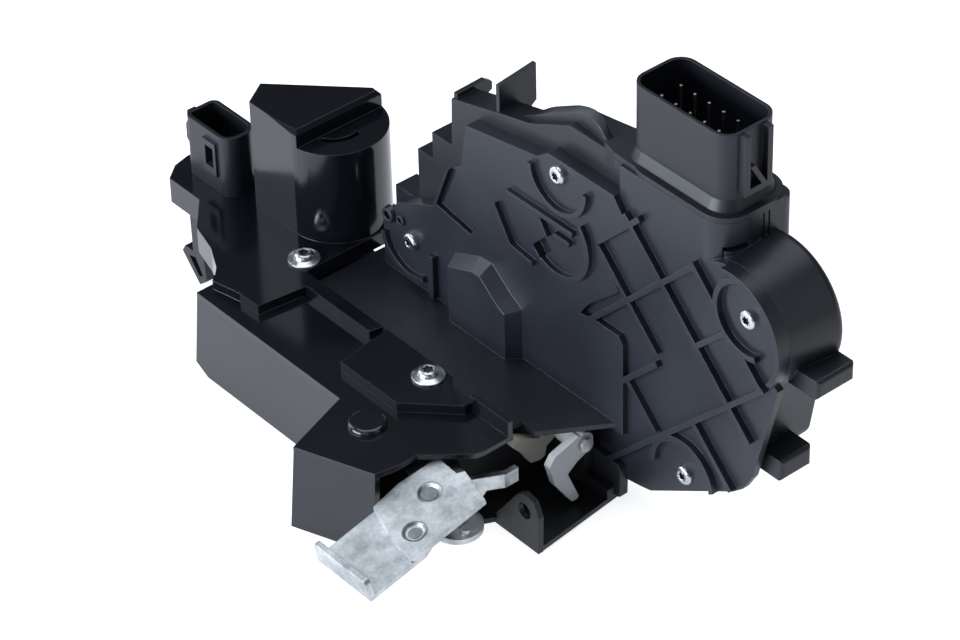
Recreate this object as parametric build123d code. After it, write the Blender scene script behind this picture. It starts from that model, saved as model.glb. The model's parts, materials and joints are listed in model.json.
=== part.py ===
"""Door latch actuator, built as separate named pieces.

Working frame: X runs along the length of the unit, Z points away from the
door's shut face, Y is square to both.  The back of the gear case lies
behind the plane Y = 0; the shelf that joins the two legs of the unit is
the plane Z = 0.  Every finished piece is shifted once, at export, so that
the origin is the seated striker centre on the outer face of the face plate.
"""
from build123d import *
import math
import os

# ---------------------------------------------------------------- materials
SHEET = 1.7           # steel plates
SKIN = 1.6            # moulded walls
GAP = 0.3             # parting gap between neighbouring pieces
RUN = 0.06            # radial running fit of pivots

# ------------------------------------------------------------ level heights
COVER_LOW = 2.1    # lower level of the glossy latch cover
COVER_HIGH = 5.1   # raised level of the glossy latch cover
RIM_TOP = 7.1      # upturned rim beside the shelf
PLATE_TOP = -25.5  # inner side of the face plate
PLATE_BOTTOM = PLATE_TOP - SHEET
SHELF_UNDER = -SKIN
DRAFT = 3.0           # degrees, outward lean of the cover walls

# ------------------------------------------------------------- latch cover
WALL_A_Y = -50.3
COVER_LEFT = -90.3
NOTCH_X = -26.3
CORNER_B = (-18.5, -72.6)
CORNER_C = (5.0, -63.6)
FRONT_X = 6.3
FRONT_Y = -50.1
NOSE = (16.3, -38.3)
COVER_END_X = 17.0
COVER_BACK_Y = -26.7
STEP_BACK_Y = -23.7
STEP_X = -39.9
BACK_LEFT_X = -74.0

# ----------------------------------------------------------------- tower
TOWER_X, TOWER_Y = -90.3, 1.3
TOWER_R = 15.7
TOWER_SPLIT_X = -87.9
TOWER_LEFT_X = -108.8
TOWER_TIP = (-113.9, -6.4)
TOWER_LOW = 35.7
TOWER_HIGH = 41.0
ARC_SLOT_R = 7.6
ARC_SLOT_W = 1.6
ARC_SLOT_DEEP = 1.4

# ------------------------------------------------------------ connector pod
POD_LEFT = -141.5
POD_FRONT_Y = -25.1
POD_TURN_X = -121.7
POD_BOTTOM = -3.4
POD_BACK_Y = -3.4
SHORT_PLUG_X = -125.1      # centre of the small shroud
SHORT_PLUG_Y = -13.1
SHORT_PLUG_L = 20.4
SHORT_PLUG_W = 11.4
SHORT_PLUG_TOP = 25.5
SHORT_PLUG_DEEP = 16.1
SHORT_PLUG_R = 2.5         # corners toward the end of the unit
SHORT_PLUG_ROUND = 4.6     # corners toward the tower
SHORT_PLUG_WALL = 1.2
BLADE_PITCH = 3.4

# -------------------------------------------------------------- gear case
FACE_Y = 0.0                  # smooth front face of the ribbed cover
FLOOR_Y = 2.0              # floor between the grid ribs
COVER_BACK = 4.2           # back of the ribbed cover sheet
CASE_BACK = 11.9           # back of the flat part of the case
DRUM_X, DRUM_Z = 72.6, 56.3
DRUM_R_FRONT = 18.4
DRUM_R_BACK = 21.1
DRUM_BACK = 21.7
RIB_W = 1.6
BLOCK_X0, BLOCK_X1 = 29.2, 68.5
BLOCK_SPLIT_Y = 11.0
BLOCK_BACK = 27.2
BLOCK_TOP = 84.1
BLOCK_R = 8.5             # large round of the front right corner
FLANGE_TOP = 85.8
PLUG_X0, PLUG_X1 = 28.4, 64.9
PLUG_Y0, PLUG_Y1 = 5.6, 24.3
PLUG_TOP = 108.6
PLUG_FLOOR = 88.0
PLUG_R = 5.1
PLUG_WALL = 1.0
SKIRT_OUT = 1.4            # sloped skirt round the foot of the shroud
SKIRT_H = 3.1
PIN_PITCH = 5.3
PIN_ROWS = (PLUG_Y0 + 4.6, PLUG_Y0 + 11.2)
PIN_R = 0.4
PIN_TOP = 105.7

# ----------------------------------------------------- striker, claw, pawl
MOUTH_X = -49.0
STRIKER_Y = -16.0
STRIKER_R = 5.0
MOUTH_HALF = 7.5
MOUTH_DEEP = 15.0
CLAW_X, CLAW_Y = -66.0, -20.0
CLAW_OPEN = 36.0              # degrees the claw turns to let the striker go
PAWL_OPEN = 14.0              # degrees the pawl lifts over the same travel
SLOT_HALF = 5.4
CLAW_BASE_R = 17.2
PAWL_TIP_IN = CLAW_BASE_R + 0.4      # innermost radius of the tip about the claw pin
CLAW_TOOTH_R = PAWL_TIP_IN + 1.4
CLAW_R = CLAW_TOOTH_R + 1.0
CLAW_T = 4.0
JACKET_T = 1.6
CLAW_PIN_R = 4.0
PAWL_X, PAWL_Y = -33.3, -19.7
PAWL_ARM = 27.0
PAWL_ANGLE = 215.0            # degrees, from the pawl pin to its tip
PAWL_HUB_R = 6.0
PAWL_PIN_R = 3.0
CLAW_LOW = PLATE_TOP + 0.4
POCKET_TOP = CLAW_LOW + CLAW_T + JACKET_T + 0.4
SPRING_R = 5.6
SPRING_WIRE = 1.1
SPRING_H = 4.0

# ------------------------------------------------------------- face plate
PLATE_RIGHT = 32.6
PLATE_STEP_X = 13.6
EAR_Y = -30.6
EAR_LEFT = 15.3
EAR_TOP = -9.3
EAR_HOLE_X, EAR_HOLE_Z = 27.0, -15.3
EAR_HOLE_R = 2.5
FIX_POINTS = ((-82.0, -42.0), (-20.0, -42.0), (-20.0, -6.0))
FIX_R = 2.5                   # tapping size of an M6 thread
FIX_COLLAR_R = 5.0
FIX_COLLAR_H = 3.0
RIVET_SINK = 1.0              # countersink of the riveted pin ends

# ------------------------------------------- release lever (tilted plate)
LEVER_TILT = 13.0             # degrees about X
LEVER_CORNER = (30.3, -73.0, -6.2)
LEVER_W = 21.9
UPPER_L = 28.4
LOWER_OUT = 14.4
LOWER_IN = 18.3
LEVER_T = 1.7
HOOK_H = 7.5
PIVOT_A, PIVOT_T = -13.9, 18.7
RIVET_A, RIVET_T = -6.6, 7.4
DIMPLE_R = 3.3
RIVET_R = 2.5
LEVER_END_R = 8.5

# ----------------------------------------------------- link lever (S arm)
LINK_X, LINK_Y = 17.3, -45.9
LINK_LOW = -17.0
LINK_HIGH = -7.2
LINK_R = 7.1
LINK_PIN_R = 2.0
LINK_ARM_H = 10.8

# -------------------------------------------------- pale lock lever pair
SHAFT_Y, SHAFT_Z = -7.2, -6.0
SHAFT_R = 1.5
LOCK_X = 22.6
LOCK_T = 2.4
CAM_X = 11.9
CAM_T = 2.6

# ---------------------------------------------------------------- screws
PAN_R = 2.8
PAN_H = 1.8
PAN_POINTS = (
    (78.5, 62.6, 2.0),
    (55.7, -2.8, 2.0),
    (7.9, 70.9, 0.0),
    (-55.0, 14.6, 0.0),
)
PAN_SHANK_R = 1.2
PAN_SHANK_L = 9.0
FLANGE_R = 4.7
FLANGE_HEAD_R = 2.9
FLANGE_POINTS = ((-78.8, -20.6), (-14.6, -28.6))

# ------------------------------------------------------------ drive train
MOTOR_R = 8.0
MOTOR_X = 54.8
MOTOR_Y = COVER_BACK + GAP + MOTOR_R
MOTOR_SHAFT_R = 1.0
MOTOR_Z0, MOTOR_Z1 = 21.2, 45.9
WORM_R = 2.6
WORM_CORE_R = 1.9
WORM_Z0, WORM_Z1 = 49.3, 63.8
WHEEL_R = 14.8
WHEEL_TEETH = 30
WHEEL_T = 4.0
WHEEL_Y = 11.5
WHEEL_PIN_R = 2.0
BOSS_BACK = 11.0


# ------------------------------------------------------------- form helpers
def prism(points, low, high):
    """Outline in X and Y, standing from low to high."""
    face = make_face(Polyline(*points, close=True))
    return extrude(Pos(0, 0, low) * face, high - low)


def slab_y(points, near, far):
    """Outline in X and Z, running along Y from near to far."""
    base = Plane(origin=(0, near, 0), x_dir=(1, 0, 0), z_dir=(0, -1, 0))
    return extrude(base * make_face(Polyline(*points, close=True)), near - far)


def slab_x(points, near, far):
    """Outline in Y and Z, running along X from near to far."""
    base = Plane(origin=(near, 0, 0), x_dir=(0, 1, 0), z_dir=(1, 0, 0))
    return extrude(base * make_face(Polyline(*points, close=True)), far - near)


def block(x0, x1, y0, y1, z0, z1):
    """Box between two corners."""
    centre = Pos((x0 + x1) / 2, (y0 + y1) / 2, (z0 + z1) / 2)
    return centre * Box(abs(x1 - x0), abs(y1 - y0), abs(z1 - z0))


def rod_z(x, y, z0, z1, r):
    """Upright round bar."""
    return Pos(x, y, (z0 + z1) / 2) * Cylinder(r, abs(z1 - z0))


def rod_y(x, z, y0, y1, r):
    """Round bar along Y."""
    return Pos(x, (y0 + y1) / 2, z) * Rot(90, 0, 0) * Cylinder(r, abs(y1 - y0))


def rod_x(y, z, x0, x1, r):
    """Round bar along X."""
    return Pos((x0 + x1) / 2, y, z) * Rot(0, 90, 0) * Cylinder(r, abs(x1 - x0))


def rounded_box(x0, x1, y0, y1, z0, z1, r):
    """Box with rounded upright edges."""
    centre = Pos((x0 + x1) / 2, (y0 + y1) / 2, z0)
    return extrude(centre * RectangleRounded(abs(x1 - x0), abs(y1 - y0), r), z1 - z0)


def half_round_box(x0, x1, y0, y1, z0, z1, r_left, r_right):
    """Upright box whose two right corners are rounder than the left ones."""
    flat = Pos((x0 + x1) / 2, (y0 + y1) / 2, z0) * Rectangle(x1 - x0, y1 - y0)
    flat = fillet(flat.vertices().group_by(Axis.X)[-1], r_right)
    flat = fillet(flat.vertices().group_by(Axis.X)[0], r_left)
    return extrude(flat, z1 - z0)


def rib(x0, z0, x1, z1, width, near, far):
    """Straight rib in the X-Z plane, between two points, from near to far in Y."""
    length = math.hypot(x1 - x0, z1 - z0)
    turn = math.degrees(math.atan2(z1 - z0, x1 - x0))
    spot = Pos((x0 + x1) / 2, (near + far) / 2, (z0 + z1) / 2)
    return spot * Rot(0, -turn, 0) * Box(length, abs(far - near), width)


def arc_rib(x, z, r, start, sweep, width, near, far):
    """Curved rib about a Y axis, angles from +X toward +Z."""
    ring = rod_y(x, z, near, far, r + width / 2) - rod_y(x, z, near, far, r - width / 2)
    reach = 2.0 * (r + width)
    steps = 6
    fan = [(x, z)]
    for i in range(steps + 1):
        a = math.radians(start + sweep * i / steps)
        fan.append((x + reach * math.cos(a), z + reach * math.sin(a)))
    return ring & slab_y(fan, near, far)


# ------------------------------------------------------------- latch cover
def wall_outline():
    """Closed outline whose front sides are the outer walls of the cover."""
    run = (CORNER_C[0] - CORNER_B[0], CORNER_C[1] - CORNER_B[1])
    far = (CORNER_B[0] + 2 * run[0], CORNER_B[1] + 2 * run[1])
    back = 20.0
    return [
        (COVER_LEFT, WALL_A_Y),
        (NOTCH_X, WALL_A_Y),
        CORNER_B,
        far,
        (far[0], back),
        (COVER_LEFT, back),
    ]


def low_plate_outline():
    """Lower level of the cover."""
    return [
        (COVER_LEFT, WALL_A_Y),
        (NOTCH_X, WALL_A_Y),
        CORNER_B,
        CORNER_C,
        (FRONT_X, CORNER_C[1] + 6.8),
        (FRONT_X, FRONT_Y),
        NOSE,
        (COVER_END_X, NOSE[1] + 2.5),
        (COVER_END_X, COVER_BACK_Y),
        (-7.6, COVER_BACK_Y),
        (-10.2, STEP_BACK_Y),
        (BACK_LEFT_X, STEP_BACK_Y),
        (BACK_LEFT_X, -18.7),
        (COVER_LEFT, -18.7),
    ]


def screw_land_outline():
    """Raised level carrying the left flange screw and the strip beside the shelf."""
    return [
        (-88.4, -45.9),
        (-78.6, -43.8),
        (-70.5, -43.6),
        (-68.6, -27.9),
        (-40.8, -27.9),
        (STEP_X, STEP_BACK_Y),
        (BACK_LEFT_X, STEP_BACK_Y),
        (BACK_LEFT_X, 15.3),
        (-90.1, 15.3),
        (-90.1, -44.2),
    ]


def second_land_outline():
    """Raised level carrying the right flange screw."""
    return [
        (-35.6, -42.3),
        (-11.5, -42.3),
        (1.9, -29.5),
        (1.9, COVER_BACK_Y),
        (-7.6, COVER_BACK_Y),
        (-10.2, STEP_BACK_Y),
        (STEP_X + SKIN, STEP_BACK_Y),
    ]


def pod_outline():
    """Raised pod under the tower and the small connector."""
    return [
        (-136.0, POD_FRONT_Y),
        (POD_TURN_X, POD_FRONT_Y),
        (-111.2, -34.0),
        (-100.8, -36.9),
        (-92.6, -41.3),
        (COVER_LEFT + 0.8, -44.2),
        (COVER_LEFT + 0.8, 17.0),
        (-105.4, 17.0),
        (-115.6, POD_BACK_Y),
        (POD_LEFT, POD_BACK_Y),
        (POD_LEFT, -14.4),
        (-140.1, -20.0),
    ]


def tower():
    """Round-fronted motor tower with its taller wedge on the left."""
    front = TOWER_Y - TOWER_R
    foot = COVER_HIGH - 1.0
    round_part = rod_z(TOWER_X, TOWER_Y, foot, TOWER_LOW, TOWER_R)
    half_chord = math.sqrt(TOWER_R**2 - (TOWER_SPLIT_X - TOWER_X) ** 2)
    right_side = block(TOWER_SPLIT_X, TOWER_X + 2 * TOWER_R, front - 5, front + 3 * TOWER_R, foot, TOWER_LOW)
    wedge = prism(
        [
            (TOWER_SPLIT_X, TOWER_Y - half_chord),
            (TOWER_SPLIT_X - 1.7, front),
            (TOWER_LEFT_X, front),
            TOWER_TIP,
            (TOWER_SPLIT_X - 1.7, TOWER_Y + TOWER_R),
            (TOWER_SPLIT_X, TOWER_Y + half_chord),
        ],
        foot,
        TOWER_HIGH,
    )
    top_edges = wedge.edges().group_by(Axis.Z)[-1]
    split_edges = top_edges.filter_by(lambda e: e.center().X > TOWER_SPLIT_X - 1.9)
    wedge = chamfer(split_edges, 1.2)
    slot_ring = rod_z(TOWER_X, TOWER_Y, TOWER_LOW - ARC_SLOT_DEEP, TOWER_LOW + 1, ARC_SLOT_R + ARC_SLOT_W)
    slot_ring -= rod_z(TOWER_X, TOWER_Y, TOWER_LOW - ARC_SLOT_DEEP, TOWER_LOW + 1, ARC_SLOT_R)
    slot_side = block(
        TOWER_SPLIT_X + 1, TOWER_X + 2 * ARC_SLOT_R, TOWER_Y - 2 * ARC_SLOT_R, TOWER_Y + 2.5,
        TOWER_LOW - 2 * ARC_SLOT_DEEP, TOWER_LOW + 2,
    )
    low_part = (round_part & right_side) - (slot_ring & slot_side)
    return low_part + wedge


def cover_walls():
    """Side walls of the latch cover, leaning outward toward the face plate."""
    top = COVER_LOW - SKIN
    height = top - PLATE_TOP - GAP
    outline = Pos(0, 0, top) * make_face(Polyline(*wall_outline(), close=True))
    inner = offset(outline, amount=-SKIN, kind=Kind.INTERSECTION)
    outer_body = extrude(outline, amount=height, dir=(0, 0, -1), taper=-DRAFT)
    inner_body = extrude(inner, amount=height, dir=(0, 0, -1), taper=-DRAFT)
    walls = outer_body - inner_body
    big = 200.0
    walls -= block(CORNER_C[0], big, -big, big, -big, big)
    walls -= block(NOTCH_X - 34.0, big, -34.0, big, -big, big)
    walls -= block(-big, big, -0.8, big, -big, big)
    corner = [
        (COVER_LEFT - 8, PLATE_TOP - 2),
        (COVER_LEFT + 9.3, PLATE_TOP - 2),
        (COVER_LEFT - 8, PLATE_TOP + 6.0),
    ]
    return walls - slab_y(corner, -big, big)


def latch_cover():
    """Glossy two-level cover over the latch, with tower and connector pod."""
    low = prism(low_plate_outline(), COVER_LOW - SKIN, COVER_LOW)
    land = prism(screw_land_outline(), COVER_LOW - SKIN, COVER_HIGH)
    second = prism(second_land_outline(), COVER_LOW - SKIN, COVER_HIGH)
    pod = prism(pod_outline(), POD_BOTTOM, COVER_HIGH)
    rim = block(1.7, COVER_END_X, COVER_BACK_Y - 0.5, COVER_BACK_Y - 0.5 + SKIN, COVER_LOW - SKIN, RIM_TOP)
    button = rod_z(-12.4, -51.9, COVER_LOW - 0.5, COVER_LOW + 1.7, 5.4)
    button = fillet(button.edges().group_by(Axis.Z)[-1], 1.2)
    body = low + land + second + pod + rim + button + tower() + cover_walls()
    for x, y in FLANGE_POINTS:
        body -= rod_z(x, y, -20, COVER_HIGH + 5, PAN_SHANK_R + 0.6)
    socket = short_plug(RUN, POD_BOTTOM + 2.0, COVER_HIGH + 5)
    return body - socket


# ---------------------------------------------------------- small connector
def short_plug(grow, low, high):
    """Block with the outline of the small shroud, grown or shrunk all round."""
    half_l, half_w = SHORT_PLUG_L / 2 + grow, SHORT_PLUG_W / 2 + grow
    return half_round_box(
        SHORT_PLUG_X - half_l, SHORT_PLUG_X + half_l, SHORT_PLUG_Y - half_w, SHORT_PLUG_Y + half_w,
        low, high, SHORT_PLUG_R + grow, SHORT_PLUG_ROUND + grow,
    )


def small_connector():
    """Open-topped shroud with an end key and a raised latch frame."""
    x0, x1 = SHORT_PLUG_X - SHORT_PLUG_L / 2, SHORT_PLUG_X + SHORT_PLUG_L / 2
    y0 = SHORT_PLUG_Y - SHORT_PLUG_W / 2
    shell = short_plug(0.0, POD_BOTTOM + 2.0, SHORT_PLUG_TOP)
    hollow = short_plug(-SHORT_PLUG_WALL, SHORT_PLUG_TOP - SHORT_PLUG_DEEP, SHORT_PLUG_TOP + 1)
    key = block(x0 - 2.7, x0 + 1, y0 + 3.1, y0 + 6.0, 14.9, 23.8)
    key -= block(x0 - 1.7, x0 - RUN, y0 + 2.5, y0 + 6.8, 14.4, 19.6)
    frame = block(x1 - 11.0, x1 - 5.1, y0 - 0.8, y0 + 0.5, 11.0, 22.5)
    window = block(x1 - 9.9, x1 - 6.3, y0 - 2, y0 + SHORT_PLUG_WALL + 0.5, 13.6, 20.4)
    return shell + frame - hollow + key - window


def small_terminals():
    """Four flat blades standing on the floor of the small shroud."""
    floor = SHORT_PLUG_TOP - SHORT_PLUG_DEEP
    blades = []
    for i in range(4):
        x = SHORT_PLUG_X + (i - 1.5) * BLADE_PITCH
        blades.append(block(x - 0.6, x + 0.6, SHORT_PLUG_Y - 0.3, SHORT_PLUG_Y + 0.3, floor, floor + 9.0))
    return blades


# ------------------------------------------------------------ ribbed cover
def cover_face_outline():
    """Outline of the ribbed cover in X and Z, without the drum round."""
    return [
        (-68.0, SHELF_UNDER),
        (-68.0, 15.3),
        (-61.2, 24.6),
        (-45.5, 31.9),
        (-39.5, 46.8),
        (-33.1, 51.9),
        (-30.2, 66.7),
        (-1.3, 71.9),
        (3.4, 75.2),
        (BLOCK_X0, 75.2),
        (BLOCK_X0, BLOCK_TOP),
        (BLOCK_X1 - BLOCK_R, BLOCK_TOP),
        (BLOCK_X1 - BLOCK_R, 71.4),
        (DRUM_X, DRUM_Z),
        (89.0, 44.7),
        (80.6, 11.2),
        (77.2, 5.4),
        (73.6, 2.2),
        (41.6, -17.5),
        (37.6, -18.4),
        (21.2, -21.2),
        (21.2, SHELF_UNDER),
    ]


def floor_outline():
    """Ribbed field, sunk behind the smooth face."""
    far = 119.0
    return [
        (22.4, 56.1),
        (34.3, 68.2),
        (BLOCK_X0, 74.8),
        (BLOCK_X0, far),
        (far, far),
        (far, -51.0),
        (17.0, -51.0),
        (17.0, SHELF_UNDER - 1),
        (32.5, SHELF_UNDER - 1),
        (32.5, 28.1),
        (30.9, 30.3),
        (22.4, 30.3),
        (15.6, 29.3),
        (18.5, 33.7),
        (30.9, 44.9),
    ]


def shelf_outline():
    """Level shelf between the two legs."""
    return [
        (BACK_LEFT_X + GAP, -23.4),
        (BACK_LEFT_X + GAP, COVER_BACK),
        (29.6, COVER_BACK),
        (29.6, 0.0),
        (18.0, -18.7),
        (12.2, -18.7),
        (11.0, -24.5),
        (-7.6, -24.5),
        (-11.0, -23.4),
    ]


def plateau():
    """Raised arch on the smooth face beside the shelf, with 45 degree sides."""
    rise = 4.1
    outer = [
        (-36.5, -0.5), (-36.5, 20.8), (-25.8, 25.4), (-20.7, 25.8),
        (-12.5, 19.5), (-8.2, 16.9), (-8.2, -0.5),
    ]
    inner = [
        (-34.9, -0.5), (-34.9, 18.7), (-24.6, 22.6), (-21.4, 22.8),
        (-14.1, 16.9), (-11.2, 15.5), (-11.2, -0.5),
    ]
    base = Plane(origin=(0, 0.2, 0), x_dir=(1, 0, 0), z_dir=(0, -1, 0))
    top = Plane(origin=(0, -rise, 0), x_dir=(1, 0, 0), z_dir=(0, -1, 0))
    lower = base * make_face(Polyline(*outer, close=True))
    upper = top * make_face(Polyline(*inner, close=True))
    return loft([lower, upper])


def grid_ribs():
    """Diagonal rib grid of the ribbed field."""
    near, far = FACE_Y, COVER_BACK - 0.5
    w = RIB_W
    falling = (
        (22.6, 55.4, 45.4, 32.4),
        (32.7, 71.4, 80.8, 23.5),
        (58.2, 69.7, 66.8, 61.1),
        (77.3, 50.6, 84.5, 43.4),
        (33.9, 17.3, 45.2, 6.0),
        (59.5, 18.3, 74.3, 3.5),
    )
    rising = (
        (21.4, 55.6, 38.5, 72.7),
        (18.7, 28.6, 58.9, 68.8),
        (31.0, 14.7, 45.6, 29.3),
        (59.2, 42.8, 70.4, 54.0),
        (23.4, -17.8, 85.3, 44.1),
    )
    bars = []
    for x0, z0, x1, z1 in falling + rising:
        bars.append(rib(x0, z0, x1, z1, w, near, far))
    return bars


def proud_ribs():
    """Screw collars and short ribs standing proud of the smooth face."""
    near, far = FACE_Y - 1.7, FACE_Y + 0.5
    w = RIB_W
    x1, z1 = 8.2, 70.5
    x2, z2 = 7.8, 51.0
    r = 11.0
    parts = [
        arc_rib(x1, z1, r, 185, 175, w, near, far),
        arc_rib(x2, z2, 12.4, 222, 180, w, near, far),
        arc_rib(PAN_POINTS[3][0], PAN_POINTS[3][1], 11.6, 190, 110, w, near, far),
        rib(-12.2, 55.2, 14.4, 55.2, w, near, far),
        rib(-17.8, 48.4, -11.0, 37.4, w, near, far),
        rib(-11.2, 37.7, -2.0, 36.5, w, near, far),
        rib(1.1, 53.3, 3.8, 48.9, w, near, far),
        rib(7.1, 51.3, 13.1, 51.3, w, near, far),
        block(-46.2, -44.2, FACE_Y - 2.0, 0.5, 0.8, 15.3),
    ]
    return parts


def field_collars():
    """Screw collars of the ribbed field, level with the rib tops."""
    near, far = FACE_Y, COVER_BACK - 0.5
    right = arc_rib(PAN_POINTS[0][0], PAN_POINTS[0][1], 11.2, 100, 190, RIB_W, near, far)
    low = arc_rib(PAN_POINTS[1][0], PAN_POINTS[1][1], 11.4, -5, 190, RIB_W, near, far)
    return [right, low]


def actuator_cover():
    """Ribbed front of the gear case with the shelf moulded onto it."""
    panel = slab_y(cover_face_outline(), FACE_Y, COVER_BACK)
    panel += rod_y(DRUM_X, DRUM_Z, FACE_Y, COVER_BACK, DRUM_R_FRONT)
    field = slab_y(floor_outline(), FACE_Y - 1, FLOOR_Y)
    edge = rod_y(DRUM_X, DRUM_Z, FACE_Y, COVER_BACK, DRUM_R_FRONT)
    edge -= rod_y(DRUM_X, DRUM_Z, FACE_Y, COVER_BACK, DRUM_R_FRONT - RIB_W)
    edge &= block(DRUM_X - 3.4, 119.0, -5, 10, 46.8, 85.0)
    body = panel - field + edge
    for bar in grid_ribs() + field_collars():
        body += bar & panel
    body += prism(shelf_outline(), SHELF_UNDER, 0.0)
    for bar in proud_ribs():
        body += bar
    body += plateau()
    step = [
        (-37.9, 48.8), (-44.1, 33.1), (-29.8, 30.6), (-26.7, 34.3),
        (-28.9, 33.1), (-40.7, 35.2), (-34.5, 49.8),
    ]
    body -= slab_y(step, FACE_Y - 1, FACE_Y + 1.7)
    window = Pos(0.6, 0, 42.8) * Rot(0, 45, 0) * Box(4.2, 5.1, 7.2)
    body -= window
    block_front = block(BLOCK_X0, BLOCK_X1, FLOOR_Y, COVER_BACK, 68.0, BLOCK_TOP)
    block_front += block(BLOCK_X0, BLOCK_X1, COVER_BACK - 0.1, BLOCK_SPLIT_Y, 76.8, BLOCK_TOP)
    round_edge = rounded_box(
        BLOCK_X0 - 25.5, BLOCK_X1, FLOOR_Y, FLOOR_Y + 51.0, 68.0, BLOCK_TOP, BLOCK_R
    )
    body += (block_front & round_edge) - rod_y(DRUM_X, DRUM_Z, COVER_BACK, 34.0, DRUM_R_BACK + GAP)
    for x, z, seat in PAN_POINTS:
        body -= rod_y(x, z, -5, 30, PAN_SHANK_R + 0.5)
    return body


# ------------------------------------------------------------- rear case
def case_profile():
    """Stepped outline of the flat part of the case, in X and Z."""
    return [
        (-67.1, 1.7), (-67.1, 25.5), (-56.5, 25.5), (-56.5, 43.4),
        (-50.0, 43.4), (-50.0, 52.3), (-41.6, 52.3), (-41.1, 68.0),
        (-22.1, 73.1), (-8.8, 76.5), (7.3, 84.1), (BLOCK_X0, 84.1),
        (BLOCK_X0, 76.5), (85.0, 51.0), (78.2, 11.9), (71.4, 4.2),
        (39.1, -14.4), (22.9, -17.0), (22.9, 1.7),
    ]


def actuator_housing():
    """Back half of the gear case: drum, connector block, brackets and tabs."""
    front = COVER_BACK + 0.0
    flat = slab_y(case_profile(), front, CASE_BACK)
    low_cut = [(8.5, -34.0), (93.5, -34.0), (93.5, 17.0), (59.5, 3.4)]
    flat -= slab_y(low_cut, 6.8, 34.0)
    axis = Pos(DRUM_X, (front + DRUM_BACK) / 2, DRUM_Z) * Rot(90, 0, 0)
    drum = axis * Cone(DRUM_R_BACK, DRUM_R_FRONT, DRUM_BACK - front)
    drum = fillet(drum.edges().group_by(Axis.Y)[-1], 2.5)
    hump = block(42.5, 67.1, front, 22.9, 17.0, 69.7)
    plug_block = rounded_box(BLOCK_X0, BLOCK_X1, front, BLOCK_BACK, 68.0, BLOCK_TOP, 4.2)
    plug_block -= block(0, 102.0, 0, BLOCK_SPLIT_Y + GAP, 75.5, BLOCK_TOP + 1)
    low_boss = rod_y(PAN_POINTS[1][0], PAN_POINTS[1][1], front, CASE_BACK, 3.6)
    body = flat + drum + hump + plug_block + low_boss
    flange = rounded_box(BLOCK_X0, BLOCK_X1, FLOOR_Y, BLOCK_BACK, BLOCK_TOP + 0.05, FLANGE_TOP, BLOCK_R)
    left = [
        (25.9, 3.1), (20.8, 4.4), (16.1, 8.1), (6.8, 8.5),
        (6.8, CASE_BACK), (14.4, 13.2), (22.9, 14.9), (28.9, 17.0),
    ]
    wing = prism(left + [(28.9, 3.4)], 80.8, FLANGE_TOP)
    wing += prism(left + [(39.1, 17.0), (39.1, 2.5)], BLOCK_TOP + 0.05, FLANGE_TOP)
    body += flange + wing
    body += block(BLOCK_X0, BLOCK_X1, BLOCK_SPLIT_Y + GAP, BLOCK_BACK - 3.4, BLOCK_TOP - 2, FLANGE_TOP - 0.5)
    body += big_shroud()
    for y in (15.3, 17.2):
        body -= block(BLOCK_X1 - 0.5, BLOCK_X1 + 1, y, y + 0.6, 73.1, BLOCK_TOP - 0.5)
    body += brackets()
    body += tabs()
    return body - case_hollow()


def big_shroud():
    """Main connector shroud with its lock frame on the right end."""
    wall = PLUG_WALL
    outer = rounded_box(PLUG_X0, PLUG_X1, PLUG_Y0, PLUG_Y1, FLANGE_TOP - 1, PLUG_TOP, PLUG_R)
    inner = rounded_box(
        PLUG_X0 + wall, PLUG_X1 - wall, PLUG_Y0 + wall, PLUG_Y1 - wall,
        PLUG_FLOOR, PLUG_TOP + 1, PLUG_R - wall,
    )
    mid = (PLUG_Y0 + PLUG_Y1) / 2
    length, width = PLUG_X1 - PLUG_X0, PLUG_Y1 - PLUG_Y0
    foot_at = Pos((PLUG_X0 + PLUG_X1) / 2, mid, FLANGE_TOP - 0.1)
    skirt = loft([
        foot_at * RectangleRounded(length + 2 * SKIRT_OUT, width + 2 * SKIRT_OUT, PLUG_R + SKIRT_OUT),
        Pos(0, 0, SKIRT_H) * foot_at * RectangleRounded(length, width, PLUG_R),
    ])
    rise = FLANGE_TOP + 4.2
    x1 = PLUG_X1 + 2.2
    posts = block(PLUG_X1 - 1, x1, mid - 4.7, mid - 3.0, rise, PLUG_TOP - 0.5)
    posts += block(PLUG_X1 - 1, x1, mid + 3.0, mid + 4.7, rise, PLUG_TOP - 0.5)
    foot = block(PLUG_X1 - 1, x1, mid - 4.7, mid + 4.7, rise, rise + 1.9)
    strut = [
        (mid - 3.1, FLANGE_TOP + 12.8), (mid - 1.4, FLANGE_TOP + 12.8),
        (mid + 3.4, rise + 0.8), (mid + 1.7, rise + 0.8),
    ]
    return outer + skirt - inner + posts + foot + slab_x(strut, PLUG_X1 - 0.5, x1)


def brackets():
    """Thin upright fins along the stepped edge of the case."""
    fin = slab_x(
        [(4.7, 64.6), (4.7, 81.6), (17.8, 83.3), (17.8, 71.4), (CASE_BACK - 1, 66.3)],
        -22.9, -21.6,
    )
    hook = slab_x(
        [(5.1, 62.9), (5.1, 69.7), (14.9, 70.1), (17.4, 68.4), (17.4, 65.9),
         (12.8, 63.8), (11.0, 61.2)],
        -41.1, -39.6,
    )
    return [fin, hook]


def tabs():
    """Two square lugs on the right side of the drum."""
    first = block(85.0, 98.1, 7.2, 20.4, 44.5, 50.3)
    second = block(76.5, 87.2, 6.0, 17.0, 11.6, 18.2)
    lugs = []
    for lug in (first, second):
        right = lug.faces().sort_by(Axis.X)[-1]
        lugs.append(fillet(right.edges(), 1.2))
    return lugs


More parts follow.
